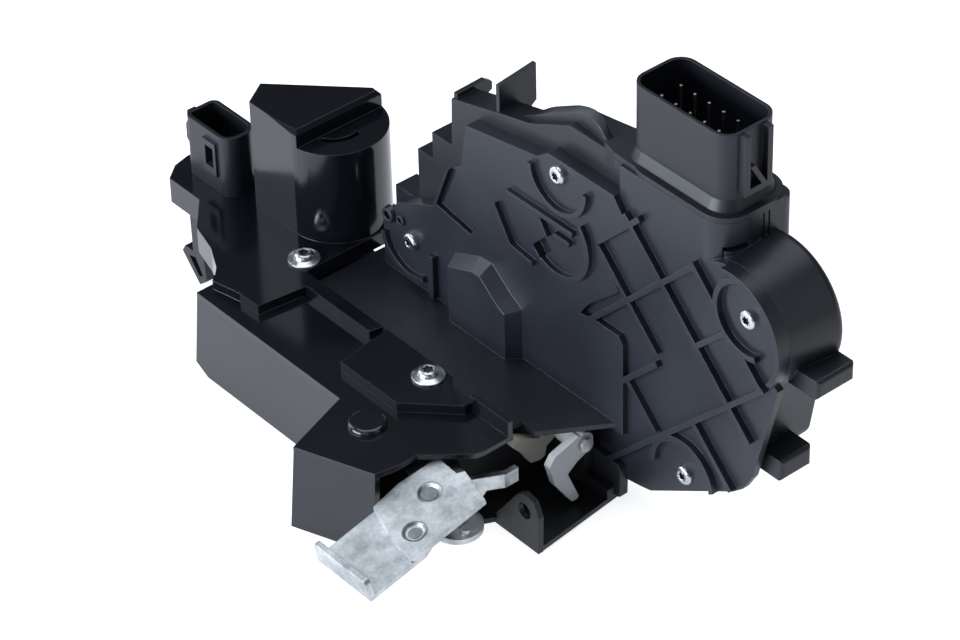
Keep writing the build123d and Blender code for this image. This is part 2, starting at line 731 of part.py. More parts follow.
def case_hollow():
    """Room inside the case for the worm drive."""
    room = rod_y(DRUM_X, DRUM_Z, COVER_BACK - 1, DRUM_BACK - SKIN, DRUM_R_FRONT - SKIN)
    bay = block(
        MOTOR_X - MOTOR_R - 0.5, MOTOR_X + MOTOR_R + 0.5, COVER_BACK - 1, MOTOR_Y + MOTOR_R + 0.4,
        MOTOR_Z0 - 0.4, WORM_Z1 + 2.0,
    )
    holes = [rod_y(x, z, 0, 12.0, PAN_SHANK_R) for x, z, seat in PAN_POINTS]
    x, z = PAN_POINTS[0][0], PAN_POINTS[0][1]
    out = math.hypot(x - DRUM_X, z - DRUM_Z)
    edge_x = DRUM_X + (x - DRUM_X) * DRUM_R_FRONT / out
    edge_z = DRUM_Z + (z - DRUM_Z) * DRUM_R_FRONT / out
    room -= rod_y(x, z, COVER_BACK, BOSS_BACK, 3.1)
    room -= rib(x, z, edge_x, edge_z, 4.2, COVER_BACK, BOSS_BACK)
    room -= rod_y(DRUM_X, DRUM_Z, BOSS_BACK + 0.2, DRUM_BACK, WHEEL_PIN_R - RUN)
    hollow = room + bay
    for hole in holes:
        hollow += hole
    return hollow


def main_terminals():
    """Round pins on the floor of the main connector."""
    pins = []
    for y in PIN_ROWS:
        for i in range(5):
            x = (PLUG_X0 + PLUG_X1) / 2 + (i - 2) * PIN_PITCH
            pins.append(rod_z(x, y, PLUG_FLOOR, PIN_TOP, PIN_R))
    return pins


# -------------------------------------------------------------- latch body
def body_outline():
    """Inner outline of the cover walls, less the parting gap."""
    flat = make_face(Polyline(*wall_outline(), close=True))
    return offset(flat, amount=-(SKIN + GAP), kind=Kind.INTERSECTION)


def latch_body():
    """Moulded block that carries the claw and the pawl."""
    low = PLATE_TOP
    high = COVER_LOW - SKIN - GAP
    shelf_high = SHELF_UNDER - GAP
    raw = extrude(Pos(0, 0, low) * body_outline(), high - low)
    raw &= block(-300, 5.5, -300, 2.5, low, high)
    raw -= block(-300, 300, -24.6, 300, shelf_high, 50)
    raw += block(3.4, 20.4, -3.1, -GAP, low, shelf_high)
    raw += block(17.0, 29.8, -3.1, -GAP, low, -22.1)
    claw_room = rod_z(CLAW_X, CLAW_Y, low - 1, POCKET_TOP, CLAW_R + 0.6)
    tip_x = PAWL_X + PAWL_ARM * math.cos(math.radians(PAWL_ANGLE))
    tip_y = PAWL_Y + PAWL_ARM * math.sin(math.radians(PAWL_ANGLE))
    pawl_room = prism(
        [
            (PAWL_X + 9, PAWL_Y - 8), (PAWL_X + 9, PAWL_Y + 8), (PAWL_X - 4, PAWL_Y + 8),
            (tip_x - 4, tip_y + 6), (tip_x - 6, tip_y - 3), (tip_x + 2, tip_y - 11.8), (tip_x + 14, tip_y - 9.5),
        ],
        low - 1, POCKET_TOP,
    )
    mouth = block(MOUTH_X - MOUTH_HALF, MOUTH_X + MOUTH_HALF, STRIKER_Y, 40, low - 1, PLATE_TOP + MOUTH_DEEP)
    mouth += rod_z(MOUTH_X, STRIKER_Y, low - 1, PLATE_TOP + MOUTH_DEEP, MOUTH_HALF)
    raw = raw - claw_room - pawl_room - mouth
    for x, y, r in ((CLAW_X, CLAW_Y, CLAW_PIN_R), (PAWL_X, PAWL_Y, PAWL_PIN_R)):
        raw -= rod_z(x, y, low, POCKET_TOP + SPRING_H + 0.3, SPRING_R + SPRING_WIRE + 0.3)
        raw -= rod_z(x, y, low, POCKET_TOP + SPRING_H + 4.0, r)
    for x, y in FIX_POINTS:
        raw -= rod_z(x, y, low - 1, low + FIX_COLLAR_H + 0.3, FIX_COLLAR_R + 0.3)
        raw -= rod_z(x, y, low - 1, low + 12.0, FIX_R + 0.8)
    raw -= rod_x(SHAFT_Y, SHAFT_Z, -3.4, 30, SHAFT_R)
    for x, y in FLANGE_POINTS:
        raw -= rod_z(x, y, -12, 20, PAN_SHANK_R)
    raw -= lever_place(
        prism([(-51.0, 8.5), (8.5, 8.5), (8.5, 40.4), (-51.0, 40.4)],
              -2 * LEVER_T - SHEET - 2 * GAP, 10.0)
    ) & block(-8.5, 60, -300, 300, low, 50)
    return raw


# -------------------------------------------------------------- face plate
def face_plate():
    """Pressed steel plate with the striker mouth, fixing collars and side ear."""
    sheet = prism(
        [
            (-87.5, -48.4), (4.7, -48.4), (PLATE_STEP_X, -32.7), (PLATE_STEP_X + 1.0, EAR_Y),
            (PLATE_RIGHT, EAR_Y), (PLATE_RIGHT - 3.8, 2.5), (-87.5, 2.5),
        ],
        PLATE_BOTTOM, PLATE_TOP,
    )
    sheet = fillet(sheet.edges().filter_by(Axis.Z).group_by(Axis.X)[0], 5.1)
    sheet -= block(MOUTH_X - MOUTH_HALF, MOUTH_X + MOUTH_HALF, STRIKER_Y, 20, PLATE_BOTTOM - 1, PLATE_TOP + 1)
    sheet -= rod_z(MOUTH_X, STRIKER_Y, PLATE_BOTTOM - 1, PLATE_TOP + 1, MOUTH_HALF)
    ear = slab_y(
        [
            (16.7, PLATE_BOTTOM), (PLATE_RIGHT, PLATE_BOTTOM), (33.0, -14.6), (30.9, -10.0),
            (26.9, -9.3), (24.4, -10.9), (EAR_LEFT, -23.2), (EAR_LEFT, -25.5),
        ],
        EAR_Y, EAR_Y + SHEET,
    )
    ear -= rod_y(EAR_HOLE_X, EAR_HOLE_Z, EAR_Y - 1, EAR_Y + SHEET + 1, EAR_HOLE_R)
    body = sheet + ear
    for x, y in FIX_POINTS:
        body += rod_z(x, y, PLATE_TOP - 0.5, PLATE_TOP + FIX_COLLAR_H, FIX_COLLAR_R)
        body -= rod_z(x, y, PLATE_BOTTOM - 1, PLATE_TOP + FIX_COLLAR_H + 1, FIX_R)
    for x, y, r in ((CLAW_X, CLAW_Y, CLAW_PIN_R), (PAWL_X, PAWL_Y, PAWL_PIN_R)):
        body -= rod_z(x, y, PLATE_BOTTOM - 1, PLATE_TOP + 1, r)
        body -= Pos(x, y, PLATE_BOTTOM + RIVET_SINK / 2) * Cone(r + RIVET_SINK, r, RIVET_SINK)
    return body


# ----------------------------------------------------------- claw and pawl
def polar(cx, cy, r, degrees):
    """Point at a radius and angle about a centre."""
    a = math.radians(degrees)
    return (cx + r * math.cos(a), cy + r * math.sin(a))


def sector(cx, cy, r, start, stop, low, high):
    """Round sector about an upright axis."""
    steps = 4
    fan = [(cx, cy)]
    for i in range(steps + 1):
        fan.append(polar(cx, cy, 2.0 * r, start + (stop - start) * i / steps))
    return rod_z(cx, cy, low, high, r) & prism(fan, low, high)


def striker_angle():
    """Direction of the seated striker from the claw pin."""
    return math.degrees(math.atan2(STRIKER_Y - CLAW_Y, MOUTH_X - CLAW_X))


def claw_shape(low, high, grow):
    """Fork outline of the claw, latched, grown outward by a skin."""
    heading = striker_angle()
    reach = math.hypot(MOUTH_X - CLAW_X, STRIKER_Y - CLAW_Y)
    tip_half = math.degrees(3.2 / PAWL_TIP_IN)
    lift = math.degrees((CLAW_TOOTH_R + 0.4 - PAWL_TIP_IN) / PAWL_ARM)
    lead = lift * CLAW_OPEN / PAWL_OPEN
    tooth = pawl_tip_angle() - tip_half - lead - 1.0
    body = rod_z(CLAW_X, CLAW_Y, low, high, CLAW_BASE_R - 0.2 + grow)
    body += sector(CLAW_X, CLAW_Y, CLAW_R - 0.2 + grow, heading, heading + 75, low, high)
    body += sector(CLAW_X, CLAW_Y, CLAW_R - 0.2 + grow, heading - 34, heading, low, high)
    body += sector(CLAW_X, CLAW_Y, CLAW_TOOTH_R - 0.2 + grow, tooth - 55, tooth, low, high)
    x, y = polar(CLAW_X, CLAW_Y, reach, heading)
    half = SLOT_HALF - grow + 0.2
    slot = rod_z(x, y, low - 1, high + 1, half)
    channel = Pos(x, y, (low + high) / 2) * Rot(0, 0, heading) * Pos(15, 0, 0)
    slot += channel * Box(30, 2 * half, high - low + 2)
    return body - slot


def pawl_tip_angle():
    """Direction of the pawl tip from the claw pin."""
    x, y = polar(PAWL_X, PAWL_Y, PAWL_ARM, PAWL_ANGLE)
    return math.degrees(math.atan2(y - CLAW_Y, x - CLAW_X))


def claw():
    """Steel core of the claw with its raised pin collar."""
    core = claw_shape(CLAW_LOW, CLAW_LOW + CLAW_T, 0.0)
    return core - rod_z(CLAW_X, CLAW_Y, CLAW_LOW - 1, CLAW_LOW + CLAW_T + 1, CLAW_PIN_R)


def claw_jacket():
    """Quiet plastic jacket on the upper face of the claw, with a buffer slot."""
    low = CLAW_LOW + CLAW_T
    skin = claw_shape(low, low + JACKET_T, 0.2)
    skin -= rod_z(CLAW_X, CLAW_Y, low - 1, low + JACKET_T + 1, CLAW_PIN_R)
    x, y = polar(CLAW_X, CLAW_Y, CLAW_BASE_R - 4.6, striker_angle() + 150)
    slit = Pos(x, y, low) * Rot(0, 0, striker_angle() + 60) * Box(9.0, 1.6, 3 * JACKET_T)
    return skin - slit


def pawl():
    """Pawl with its hub and the tip that holds the claw."""
    low, high = CLAW_LOW, CLAW_LOW + CLAW_T
    along = math.radians(PAWL_ANGLE)
    dx, dy = math.cos(along), math.sin(along)
    ox, oy = -dy, dx
    if (PAWL_X + ox - CLAW_X) ** 2 + (PAWL_Y + oy - CLAW_Y) ** 2 < (PAWL_X - CLAW_X) ** 2 + (PAWL_Y - CLAW_Y) ** 2:
        ox, oy = -ox, -oy

    def at(run, side):
        return (PAWL_X + run * dx + side * ox, PAWL_Y + run * dy + side * oy)

    tip_side = PAWL_TIP_IN - tip_distance()
    inner = CLAW_R + 0.6 - tip_distance()
    arm = prism(
        [
            at(-1.0, inner - 1.5), at(PAWL_ARM - 3.2, inner), at(PAWL_ARM - 3.2, tip_side),
            at(PAWL_ARM + 2.6, tip_side), at(PAWL_ARM + 2.6, inner + 1.3), at(PAWL_ARM - 3.0, inner + 3.7),
            at(0.0, inner + 3.7),
        ],
        low, high,
    )
    hub = rod_z(PAWL_X, PAWL_Y, low, high, PAWL_HUB_R)
    tail = prism([at(-7.6, 4.4), at(-1.0, 5.6), at(-1.0, -2.0), at(-7.0, 0.4)], low, high)
    return arm + hub + tail - rod_z(PAWL_X, PAWL_Y, low - 1, high + 1, PAWL_PIN_R)


def tip_distance():
    """Distance of the pawl centre line from the claw pin."""
    x, y = polar(PAWL_X, PAWL_Y, PAWL_ARM, PAWL_ANGLE)
    return math.hypot(x - CLAW_X, y - CLAW_Y)


def pivot_pins():
    """Riveted pins of the claw and the pawl."""
    pins = []
    top = POCKET_TOP + SPRING_H + 3.7
    for x, y, r in ((CLAW_X, CLAW_Y, CLAW_PIN_R), (PAWL_X, PAWL_Y, PAWL_PIN_R)):
        pin = rod_z(x, y, PLATE_BOTTOM + 0.05, top, r - RUN)
        head = Pos(x, y, PLATE_BOTTOM + 0.05 + RIVET_SINK / 2) * Cone(r + RIVET_SINK - RUN, r - RUN, RIVET_SINK)
        pins.append(pin + head)
    return pins


def wound_wire(turns, radius, wire):
    """Close-wound coil about the Z axis: one ring of six-sided wire per turn and a bar across them."""
    rings = None
    for i in range(turns):
        z = wire / 2 + i * (wire + 0.15)
        section = Pos(radius, 0, z) * (Plane.XZ * RegularPolygon(wire / 2, 6))
        ring = revolve(section, Axis.Z)
        rings = ring if rings is None else rings + ring
    height = wire + (turns - 1) * (wire + 0.15)
    return rings + block(radius - wire / 2, radius + wire / 4, -wire / 2, wire / 2, wire / 4, height - wire / 4)


def claw_spring():
    """Torsion spring that throws the claw open."""
    return Pos(CLAW_X, CLAW_Y, POCKET_TOP + 0.4) * wound_wire(3, SPRING_R, SPRING_WIRE)


def pawl_spring():
    """Torsion spring that holds the pawl on the claw."""
    return Pos(PAWL_X, PAWL_Y, POCKET_TOP + 0.4) * wound_wire(3, SPRING_R - 0.6, SPRING_WIRE)


def striker_bumper():
    """Rubber buffer lining the closed end of the mouth."""
    low, high = POCKET_TOP + 0.5, PLATE_TOP + MOUTH_DEEP
    ring = rod_z(MOUTH_X, STRIKER_Y, low, high, MOUTH_HALF) - rod_z(MOUTH_X, STRIKER_Y, low - 1, high + 1, STRIKER_R + 0.6)
    return ring & block(MOUTH_X - 20, MOUTH_X + 20, STRIKER_Y - 20, STRIKER_Y, low, high)


# --------------------------------------------------------- release levers
def lever_place(part):
    """Set a part drawn on the lever plane into its tilted place."""
    return Pos(*LEVER_CORNER) * Rot(LEVER_TILT, 0, 0) * part


def lever_bracket():
    """Steel bracket under the release lever, seated in the latch body."""
    low = -2 * LEVER_T - GAP - SHEET
    high = -2 * LEVER_T - GAP
    plate = prism(
        [
            (-5.1, 11.0), (-5.1, 28.1), (-22.1, 34.0), (-34.0, 34.0),
            (-34.0, 23.8), (-23.4, 20.4), (-21.2, 11.0),
        ],
        low, high,
    )
    plate = fillet(plate.edges().filter_by(Axis.Z), 1.6)
    plate -= rod_z(PIVOT_A, PIVOT_T, low - 1, high + 1, RIVET_R)
    placed = lever_place(plate)
    return placed - rod_z(LINK_X, LINK_Y, -30, 10, LINK_PIN_R)


def lower_outline_corners():
    """Corners of the lower lever plate on the lever plane."""
    return [
        (0.0, -LOWER_OUT), (0.0, 5.1), (PIVOT_A + LEVER_END_R, PIVOT_T), (PIVOT_A - LEVER_END_R, PIVOT_T),
        (-LEVER_W, 5.1), (-LEVER_W, -LOWER_OUT),
    ]


def release_lever_plate():
    """Lower lever plate with the upturned cable tab."""
    low, high = -2 * LEVER_T, -LEVER_T
    plate = prism(lower_outline_corners(), low, high)
    plate += rod_z(PIVOT_A, PIVOT_T, low, high, LEVER_END_R)
    tab = block(-LEVER_W, 0.0, -LOWER_OUT, -LOWER_OUT + LEVER_T, low, low + HOOK_H)
    tab = fillet(tab.edges().filter_by(Axis.Y).group_by(Axis.Z)[-1], 1.5)
    body = plate + tab
    body -= rod_z(PIVOT_A, PIVOT_T, low - 1, high + 1, RIVET_R)
    body -= rod_z(RIVET_A, RIVET_T, low - 1, high + 1, RIVET_R - 0.6)
    return lever_place(body)


def release_lever():
    """Upper lever plate with two dimpled rivet holes and a bent back lip."""
    plate = prism(
        [
            (0.0, 0.0), (0.0, 23.4), (-13.3, 28.1), (-21.4, 28.6),
            (-22.9, 16.0), (-21.9, 5.5),
        ],
        -LEVER_T, 0.0,
    )
    plate = fillet(plate.edges().filter_by(Axis.Z), 1.4)
    lip = prism([(0.0, 22.9), (0.0, 26.9), (-11.9, 30.1), (-13.3, 27.6)], -LEVER_T, 0.0)
    body = plate + lip
    for a, t in ((PIVOT_A, PIVOT_T), (RIVET_A, RIVET_T)):
        body -= Pos(a, t, -0.35) * Cone(DIMPLE_R - 0.9, DIMPLE_R, 0.7)
        body -= rod_z(a, t, -5, 5, RIVET_R if a == PIVOT_A else RIVET_R - 0.6)
    return lever_place(body)


def release_pivot():
    """Pivot rivet of the release lever, headed under the bracket."""
    low = -2 * LEVER_T - GAP - SHEET
    pin = rod_z(PIVOT_A, PIVOT_T, low - 0.1, -0.5, RIVET_R - RUN)
    head = rod_z(PIVOT_A, PIVOT_T, low - 1.3, low - 0.1, RIVET_R + 1.2)
    return lever_place(pin + head)


def clinch_rivet():
    """Rivet that joins the two lever plates."""
    pin = rod_z(RIVET_A, RIVET_T, -2 * LEVER_T, -0.6, RIVET_R - 0.6 - RUN)
    return lever_place(pin)


# ------------------------------------------------------------- link lever
def link_pin():
    """Upright stud that carries the link lever under the bracket."""
    top = LEVER_CORNER[2] + (LINK_Y - LEVER_CORNER[1]) * math.tan(math.radians(LEVER_TILT)) - 2 * LEVER_T - GAP - 0.4
    stud = rod_z(LINK_X, LINK_Y, LINK_LOW - SHEET - 0.2, top, LINK_PIN_R - RUN)
    head = rod_z(LINK_X, LINK_Y, LINK_LOW - SHEET - 1.4, LINK_LOW - SHEET - 0.2, LINK_PIN_R + 1.2)
    return stud + head


def link_lever():
    """Round-ended link lever with a web, a drive post and an end tab."""
    low, high = LINK_LOW - SHEET, LINK_LOW
    plate = rod_z(LINK_X, LINK_Y, low, high, LINK_R)
    arm_top = LINK_LOW + LINK_ARM_H
    start = (LINK_X - 4.9, LINK_Y + 3.2)
    end = (start[0] + 6.5, start[1] + 12.2)
    web = prism(
        [start, (start[0] + SHEET, start[1] - 0.8), (end[0] + SHEET, end[1] - 0.8), end],
        low, arm_top,
    )
    web -= slab_x([(end[1] + 2, low - 1), (LINK_Y + 5.0, low - 1), (end[1] - 5.5, arm_top - 4.6),
                   (end[1] + 2, arm_top - 4.6)], LINK_X - 40, LINK_X + 40)
    tab = block(end[0], end[0] + SHEET, end[1] - 1.2, end[1] + 3.6, arm_top - 4.6, arm_top)
    post = rod_z(LINK_X + 4.6, LINK_Y - 1.0, high - 0.3, high + 1.7, 1.4)
    body = plate + web + tab + post
    return body - rod_z(LINK_X, LINK_Y, low - 1, high + 1, LINK_PIN_R)


# ---------------------------------------------------------- lock lever pair
def lever_shaft():
    """Steel shaft of the lock and inside levers."""
    shaft = rod_x(SHAFT_Y, SHAFT_Z, -2.5, LOCK_X + LOCK_T + 1.2, SHAFT_R - RUN)
    cap = rod_x(SHAFT_Y, SHAFT_Z, LOCK_X + LOCK_T + 0.3, LOCK_X + LOCK_T + 1.4, SHAFT_R + 0.7)
    return shaft + cap


def lock_lever():
    """Pale long lever that hangs from the shaft."""
    outline = [
        (SHAFT_Y - 1.8, SHAFT_Z + 3.3), (SHAFT_Y + 3.2, SHAFT_Z + 1.2), (-3.9, -8.7), (-9.5, -10.9),
        (-13.2, -13.6), (-9.0, -24.1), (-11.8, -24.1), (-17.8, -14.9), (-19.6, -8.0),
        (-17.8, -5.4),
    ]
    plate = slab_x(outline, LOCK_X, LOCK_X + LOCK_T)
    plate = fillet(plate.edges().filter_by(Axis.X), 0.8)
    hub = rod_x(SHAFT_Y, SHAFT_Z, LOCK_X - 5.6, LOCK_X + LOCK_T, 3.3)
    return plate + hub - rod_x(SHAFT_Y, SHAFT_Z, 0, 60, SHAFT_R)


def inside_lever():
    """Short ivory lever beside the lock lever."""
    outline = [
        (-21.6, -2.7), (-14.2, -6.8), (SHAFT_Y - 1.0, SHAFT_Z + 2.6), (SHAFT_Y + 2.0, SHAFT_Z - 1.5),
        (-11.6, -11.0), (-12.2, -13.9), (-13.9, -14.6), (-17.2, -13.9),
        (-19.6, -9.7), (-23.5, -5.2),
    ]
    plate = slab_x(outline, CAM_X, CAM_X + CAM_T)
    hub = rod_x(SHAFT_Y, SHAFT_Z, CAM_X, LOCK_X - 5.9, 3.2)
    return plate + hub - rod_x(SHAFT_Y, SHAFT_Z, 0, 60, SHAFT_R)


def return_spring():
    """Coil spring on the shaft beside the inside lever."""
    return Pos(6.0, SHAFT_Y, SHAFT_Z) * Rot(0, 90, 0) * wound_wire(5, 2.5, 0.8)


# ---------------------------------------------------------------- fasteners
def cover_screws():
    """Pan head screws of the ribbed cover."""
    screws = []
    for x, z, seat in PAN_POINTS:
        head = rod_y(x, z, seat - PAN_H, seat, PAN_R)
        head = fillet(head.edges().group_by(Axis.Y)[0], 1.0)
        shank = rod_y(x, z, seat - 0.5, seat + PAN_SHANK_L, PAN_SHANK_R - RUN)
        recess = rod_y(x, z, seat - PAN_H - 1, seat - PAN_H + 1.2, 1.35)
        screws.append(head + shank - recess)
    return screws


def flange_screws():
    """Flanged screws of the latch cover."""
    screws = []
    for x, y in FLANGE_POINTS:
        washer = rod_z(x, y, COVER_HIGH, COVER_HIGH + 0.6, FLANGE_R)
        washer += Pos(x, y, COVER_HIGH + 0.9) * Cone(FLANGE_R, FLANGE_HEAD_R, 0.6)
        head = rod_z(x, y, COVER_HIGH + 0.5, COVER_HIGH + 2.6, FLANGE_HEAD_R)
        head = fillet(head.edges().group_by(Axis.Z)[-1], 1.2)
        shank = rod_z(x, y, -8.0, COVER_HIGH + 0.5, PAN_SHANK_R - RUN)
        recess = rod_z(x, y, COVER_HIGH + 1.8, COVER_HIGH + 5, 1.7)
        screws.append(washer + head + shank - recess)
    return screws


# -------------------------------------------------------------- worm drive
def motor():
    """Can motor with a nose bush for the worm shaft."""
    can = rod_z(MOTOR_X, MOTOR_Y, MOTOR_Z0, MOTOR_Z1, MOTOR_R)
    can = fillet(can.edges().group_by(Axis.Z)[-1], 1.5)
    nose = rod_z(MOTOR_X, MOTOR_Y, MOTOR_Z1 - 0.5, MOTOR_Z1 + 1.5, 3.0)
    bush = rod_z(MOTOR_X, MOTOR_Y, MOTOR_Z1 - 8.0, MOTOR_Z1 + 2.0, MOTOR_SHAFT_R)
    return can + nose - bush


def worm():
    """Worm on its shaft, grooved at the wheel pitch."""
    shaft = rod_z(MOTOR_X, MOTOR_Y, MOTOR_Z1 - 7.5, WORM_Z1, MOTOR_SHAFT_R - RUN)
    body = rod_z(MOTOR_X, MOTOR_Y, WORM_Z0, WORM_Z1, WORM_CORE_R)
    lead = 2 * math.pi * WHEEL_R / WHEEL_TEETH
    count = int((WORM_Z1 - WORM_Z0 - 1.0) / lead)
    for i in range(count):
        z = WORM_Z0 + 0.9 + (i + 0.5) * lead
        for side in (-1, 1):
            cone = Pos(MOTOR_X, MOTOR_Y, z + side * lead / 8)
            low_r = WORM_R if side > 0 else WORM_CORE_R
            top_r = WORM_CORE_R if side > 0 else WORM_R
            body += cone * Cone(low_r, top_r, lead / 4)
    return shaft + body


def worm_wheel():
    """Toothed wheel on the pin inside the drum."""
    pitch = 360.0 / WHEEL_TEETH
    root = WHEEL_R - 1.4
    near, far = WHEEL_Y, WHEEL_Y + WHEEL_T
    points = []
    for i in range(WHEEL_TEETH):
        for step, r in ((-0.32, root), (-0.14, WHEEL_R), (0.14, WHEEL_R), (0.32, root)):
            points.append(polar(DRUM_X, DRUM_Z, r, (i + step) * pitch))
    rim = slab_y(points, near, far)
    recess = rod_y(DRUM_X, DRUM_Z, near - 1, near + 1.2, root - 2.5) - rod_y(DRUM_X, DRUM_Z, near - 1, near + 1.2, 4.5)
    hub = rod_y(DRUM_X, DRUM_Z, near, DRUM_BACK - SKIN - GAP, 4.5)
    return rim - recess + hub - rod_y(DRUM_X, DRUM_Z, near - 2, 40, WHEEL_PIN_R)


def side_clip():
    """Barbed harness clip under the connector pod."""
    near, far = -24.9, -22.1
    outer = slab_y(
        [
            (-127.5, POD_BOTTOM), (-123.4, POD_BOTTOM), (-121.4, -24.6), (-125.0, -27.6),
            (-132.6, -19.1), (-131.1, -16.6), (-127.2, -16.6),
        ],
        near, far,
    )
    window = slab_y([(-126.3, -18.3), (-123.2, -23.5), (-125.0, -24.8), (-129.5, -19.2)],
                    near - 1, far + 1)
    return outer - window


# ------------------------------------------------------------------- export
def solids_of(part):
    """Flat list of the solids in a shape or in a list of shapes."""
    if isinstance(part, (list, tuple)):
        found = []
        for one in part:
            found += solids_of(one)
        return found
    return list(part.solids())


def save(name, part):
    """Write one node, moved so the seated striker is the origin."""
    move = Pos(-MOUTH_X, -STRIKER_Y, -PLATE_BOTTOM)
    moved = [move * one for one in solids_of(part)]
    shape = moved[0] if len(moved) == 1 else Compound(children=moved)
    export_step(shape, os.path.join("parts", name + ".step"))


def main():
    os.makedirs("parts", exist_ok=True)
    save("latch_cover", latch_cover())
    save("small_connector", small_connector())
    save("small_terminals", small_terminals())
    save("side_clip", side_clip())
    save("actuator_cover", actuator_cover())
    save("actuator_housing", actuator_housing())
    save("main_terminals", main_terminals())
    save("latch_body", latch_body())
    save("face_plate", face_plate())
    save("claw", claw())
    save("claw_jacket", claw_jacket())
    save("pawl", pawl())
    save("pivot_pins", pivot_pins())
    save("claw_spring", claw_spring())
    save("pawl_spring", pawl_spring())
    save("striker_bumper", striker_bumper())
    save("lever_bracket", lever_bracket())
    save("release_lever", release_lever())
    save("release_lever_plate", release_lever_plate())
    save("release_pivot", release_pivot())
    save("clinch_rivet", clinch_rivet())
    save("link_lever", link_lever())
    save("link_pin", link_pin())
    save("lock_lever", lock_lever())
    save("inside_lever", inside_lever())
    save("lever_shaft", lever_shaft())
    save("return_spring", return_spring())
    save("cover_screws", cover_screws())
    save("flange_screws", flange_screws())
    save("motor", motor())
    save("worm", worm())
    save("worm_wheel", worm_wheel())


main()
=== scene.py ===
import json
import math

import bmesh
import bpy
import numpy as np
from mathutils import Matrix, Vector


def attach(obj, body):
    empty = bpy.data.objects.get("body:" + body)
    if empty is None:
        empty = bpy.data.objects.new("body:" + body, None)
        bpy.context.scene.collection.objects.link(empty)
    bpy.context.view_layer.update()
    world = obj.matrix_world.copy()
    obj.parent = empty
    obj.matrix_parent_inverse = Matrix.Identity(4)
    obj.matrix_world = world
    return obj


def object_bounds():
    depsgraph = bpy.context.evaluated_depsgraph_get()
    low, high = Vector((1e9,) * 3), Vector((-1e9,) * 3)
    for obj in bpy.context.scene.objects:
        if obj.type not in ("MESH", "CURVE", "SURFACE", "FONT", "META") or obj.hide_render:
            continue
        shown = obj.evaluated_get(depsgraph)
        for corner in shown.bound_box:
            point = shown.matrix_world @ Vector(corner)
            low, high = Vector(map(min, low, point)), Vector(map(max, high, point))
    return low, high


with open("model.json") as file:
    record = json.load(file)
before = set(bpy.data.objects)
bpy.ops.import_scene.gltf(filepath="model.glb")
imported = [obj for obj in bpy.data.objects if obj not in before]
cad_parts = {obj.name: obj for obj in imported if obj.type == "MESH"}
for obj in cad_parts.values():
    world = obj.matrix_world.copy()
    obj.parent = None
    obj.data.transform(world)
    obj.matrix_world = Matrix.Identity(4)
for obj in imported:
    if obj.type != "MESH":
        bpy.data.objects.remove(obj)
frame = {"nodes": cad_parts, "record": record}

# Looks of a door latch actuator: black mouldings, zinc plated steel and pale nylon levers.
#
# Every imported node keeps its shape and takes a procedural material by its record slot, or one of
# its own where its finish differs. The pieces that are new here are surfaces computed with numpy
# as rings of points, in millimetres of the shared frame: turned() spins a profile round an axis,
# moulding() carries an outline through a thickness, and case_top_rim() carries a section along a
# path. surface() joins the rings into a mesh.

box_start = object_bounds()
scene = bpy.context.scene
nodes = frame["nodes"]
record = frame["record"]

# ------------------------------------------------------------------ shader helpers

FLOAT, VECTOR = "NodeSocketFloat", "NodeSocketVector"


def add(tree, kind, inputs=None, **settings):
    """A node with its settings; each input named or numbered is a constant or a node's output."""
    node = tree.nodes.new(kind)
    for key, value in settings.items():
        setattr(node, key, value)
    for key, value in (inputs or {}).items():
        if isinstance(value, bpy.types.NodeSocket):
            tree.links.new(value, node.inputs[key])
        else:
            node.inputs[key].default_value = value
    return node


def group(name, inputs, outputs):
    """A shader node group with named sockets, and the outputs of its input node."""
    tree = bpy.data.node_groups.new(name, "ShaderNodeTree")
    for label, kind, value in inputs:
        tree.interface.new_socket(name=label, in_out="INPUT", socket_type=kind).default_value = value
    for label, kind in outputs:
        tree.interface.new_socket(name=label, in_out="OUTPUT", socket_type=kind)
    return tree, tree.nodes.new("NodeGroupInput").outputs


def ranged(tree, source, low, high, start=0.0, end=1.0):
    """Source value mapped from start..end to low..high, clamped at both ends."""
    node = add(tree, "ShaderNodeMapRange", {0: source, 1: start, 2: end, 3: low, 4: high})
    return node.outputs[0]


def blended(tree, mask, first, second):
    """Colour that goes from first to second with the mask, each a tuple or a node's output."""
    ends = [(*colour, 1.0) if isinstance(colour, tuple) else colour for colour in (first, second)]
    node = add(tree, "ShaderNodeMix", {"Factor": mask, 6: ends[0], 7: ends[1]}, data_type="RGBA")
    return node.outputs[2]


def product(tree, first, second):
    """First times second, each a number or a node's output."""
    return add(tree, "ShaderNodeMath", {0: first, 1: second}, operation="MULTIPLY").outputs[0]


def blank_tree(owner):
    """The node tree of a material or a world, emptied."""
    owner.use_nodes = True
    owner.node_tree.nodes.clear()
    return owner.node_tree


# ------------------------------------------------------------------ shared effects


def make_grain():
    """Moulding grain: height = 0.6 noise(s x) + voronoi distance(2.3 s x), shade = noise(c x)."""
    tree, given = group(
        "moulding_grain",
        [("Scale", FLOAT, 900.0), ("Coarse", FLOAT, 22.0)],
        [("Height", FLOAT), ("Shade", FLOAT)],
    )
    place = add(tree, "ShaderNodeTexCoord").outputs["Object"]
    noise = {"Vector": place, "Scale": given["Scale"], "Detail": 3.0, "Roughness": 0.6}
    fine = add(tree, "ShaderNodeTexNoise", noise).outputs["Fac"]
    voronoi = {"Vector": place, "Scale": product(tree, given["Scale"], 2.3), "Randomness": 1.0}
    cells = add(tree, "ShaderNodeTexVoronoi", voronoi).outputs["Distance"]
    height = add(tree, "ShaderNodeMath", {0: fine, 1: 0.6, 2: cells}, operation="MULTIPLY_ADD")
    noise = {"Vector": place, "Scale": given["Coarse"], "Detail": 4.0, "Roughness": 0.55}
    shade = add(tree, "ShaderNodeTexNoise", noise).outputs["Fac"]
    add(tree, "NodeGroupOutput", {"Height": height.outputs[0], "Shade": shade})
    return tree


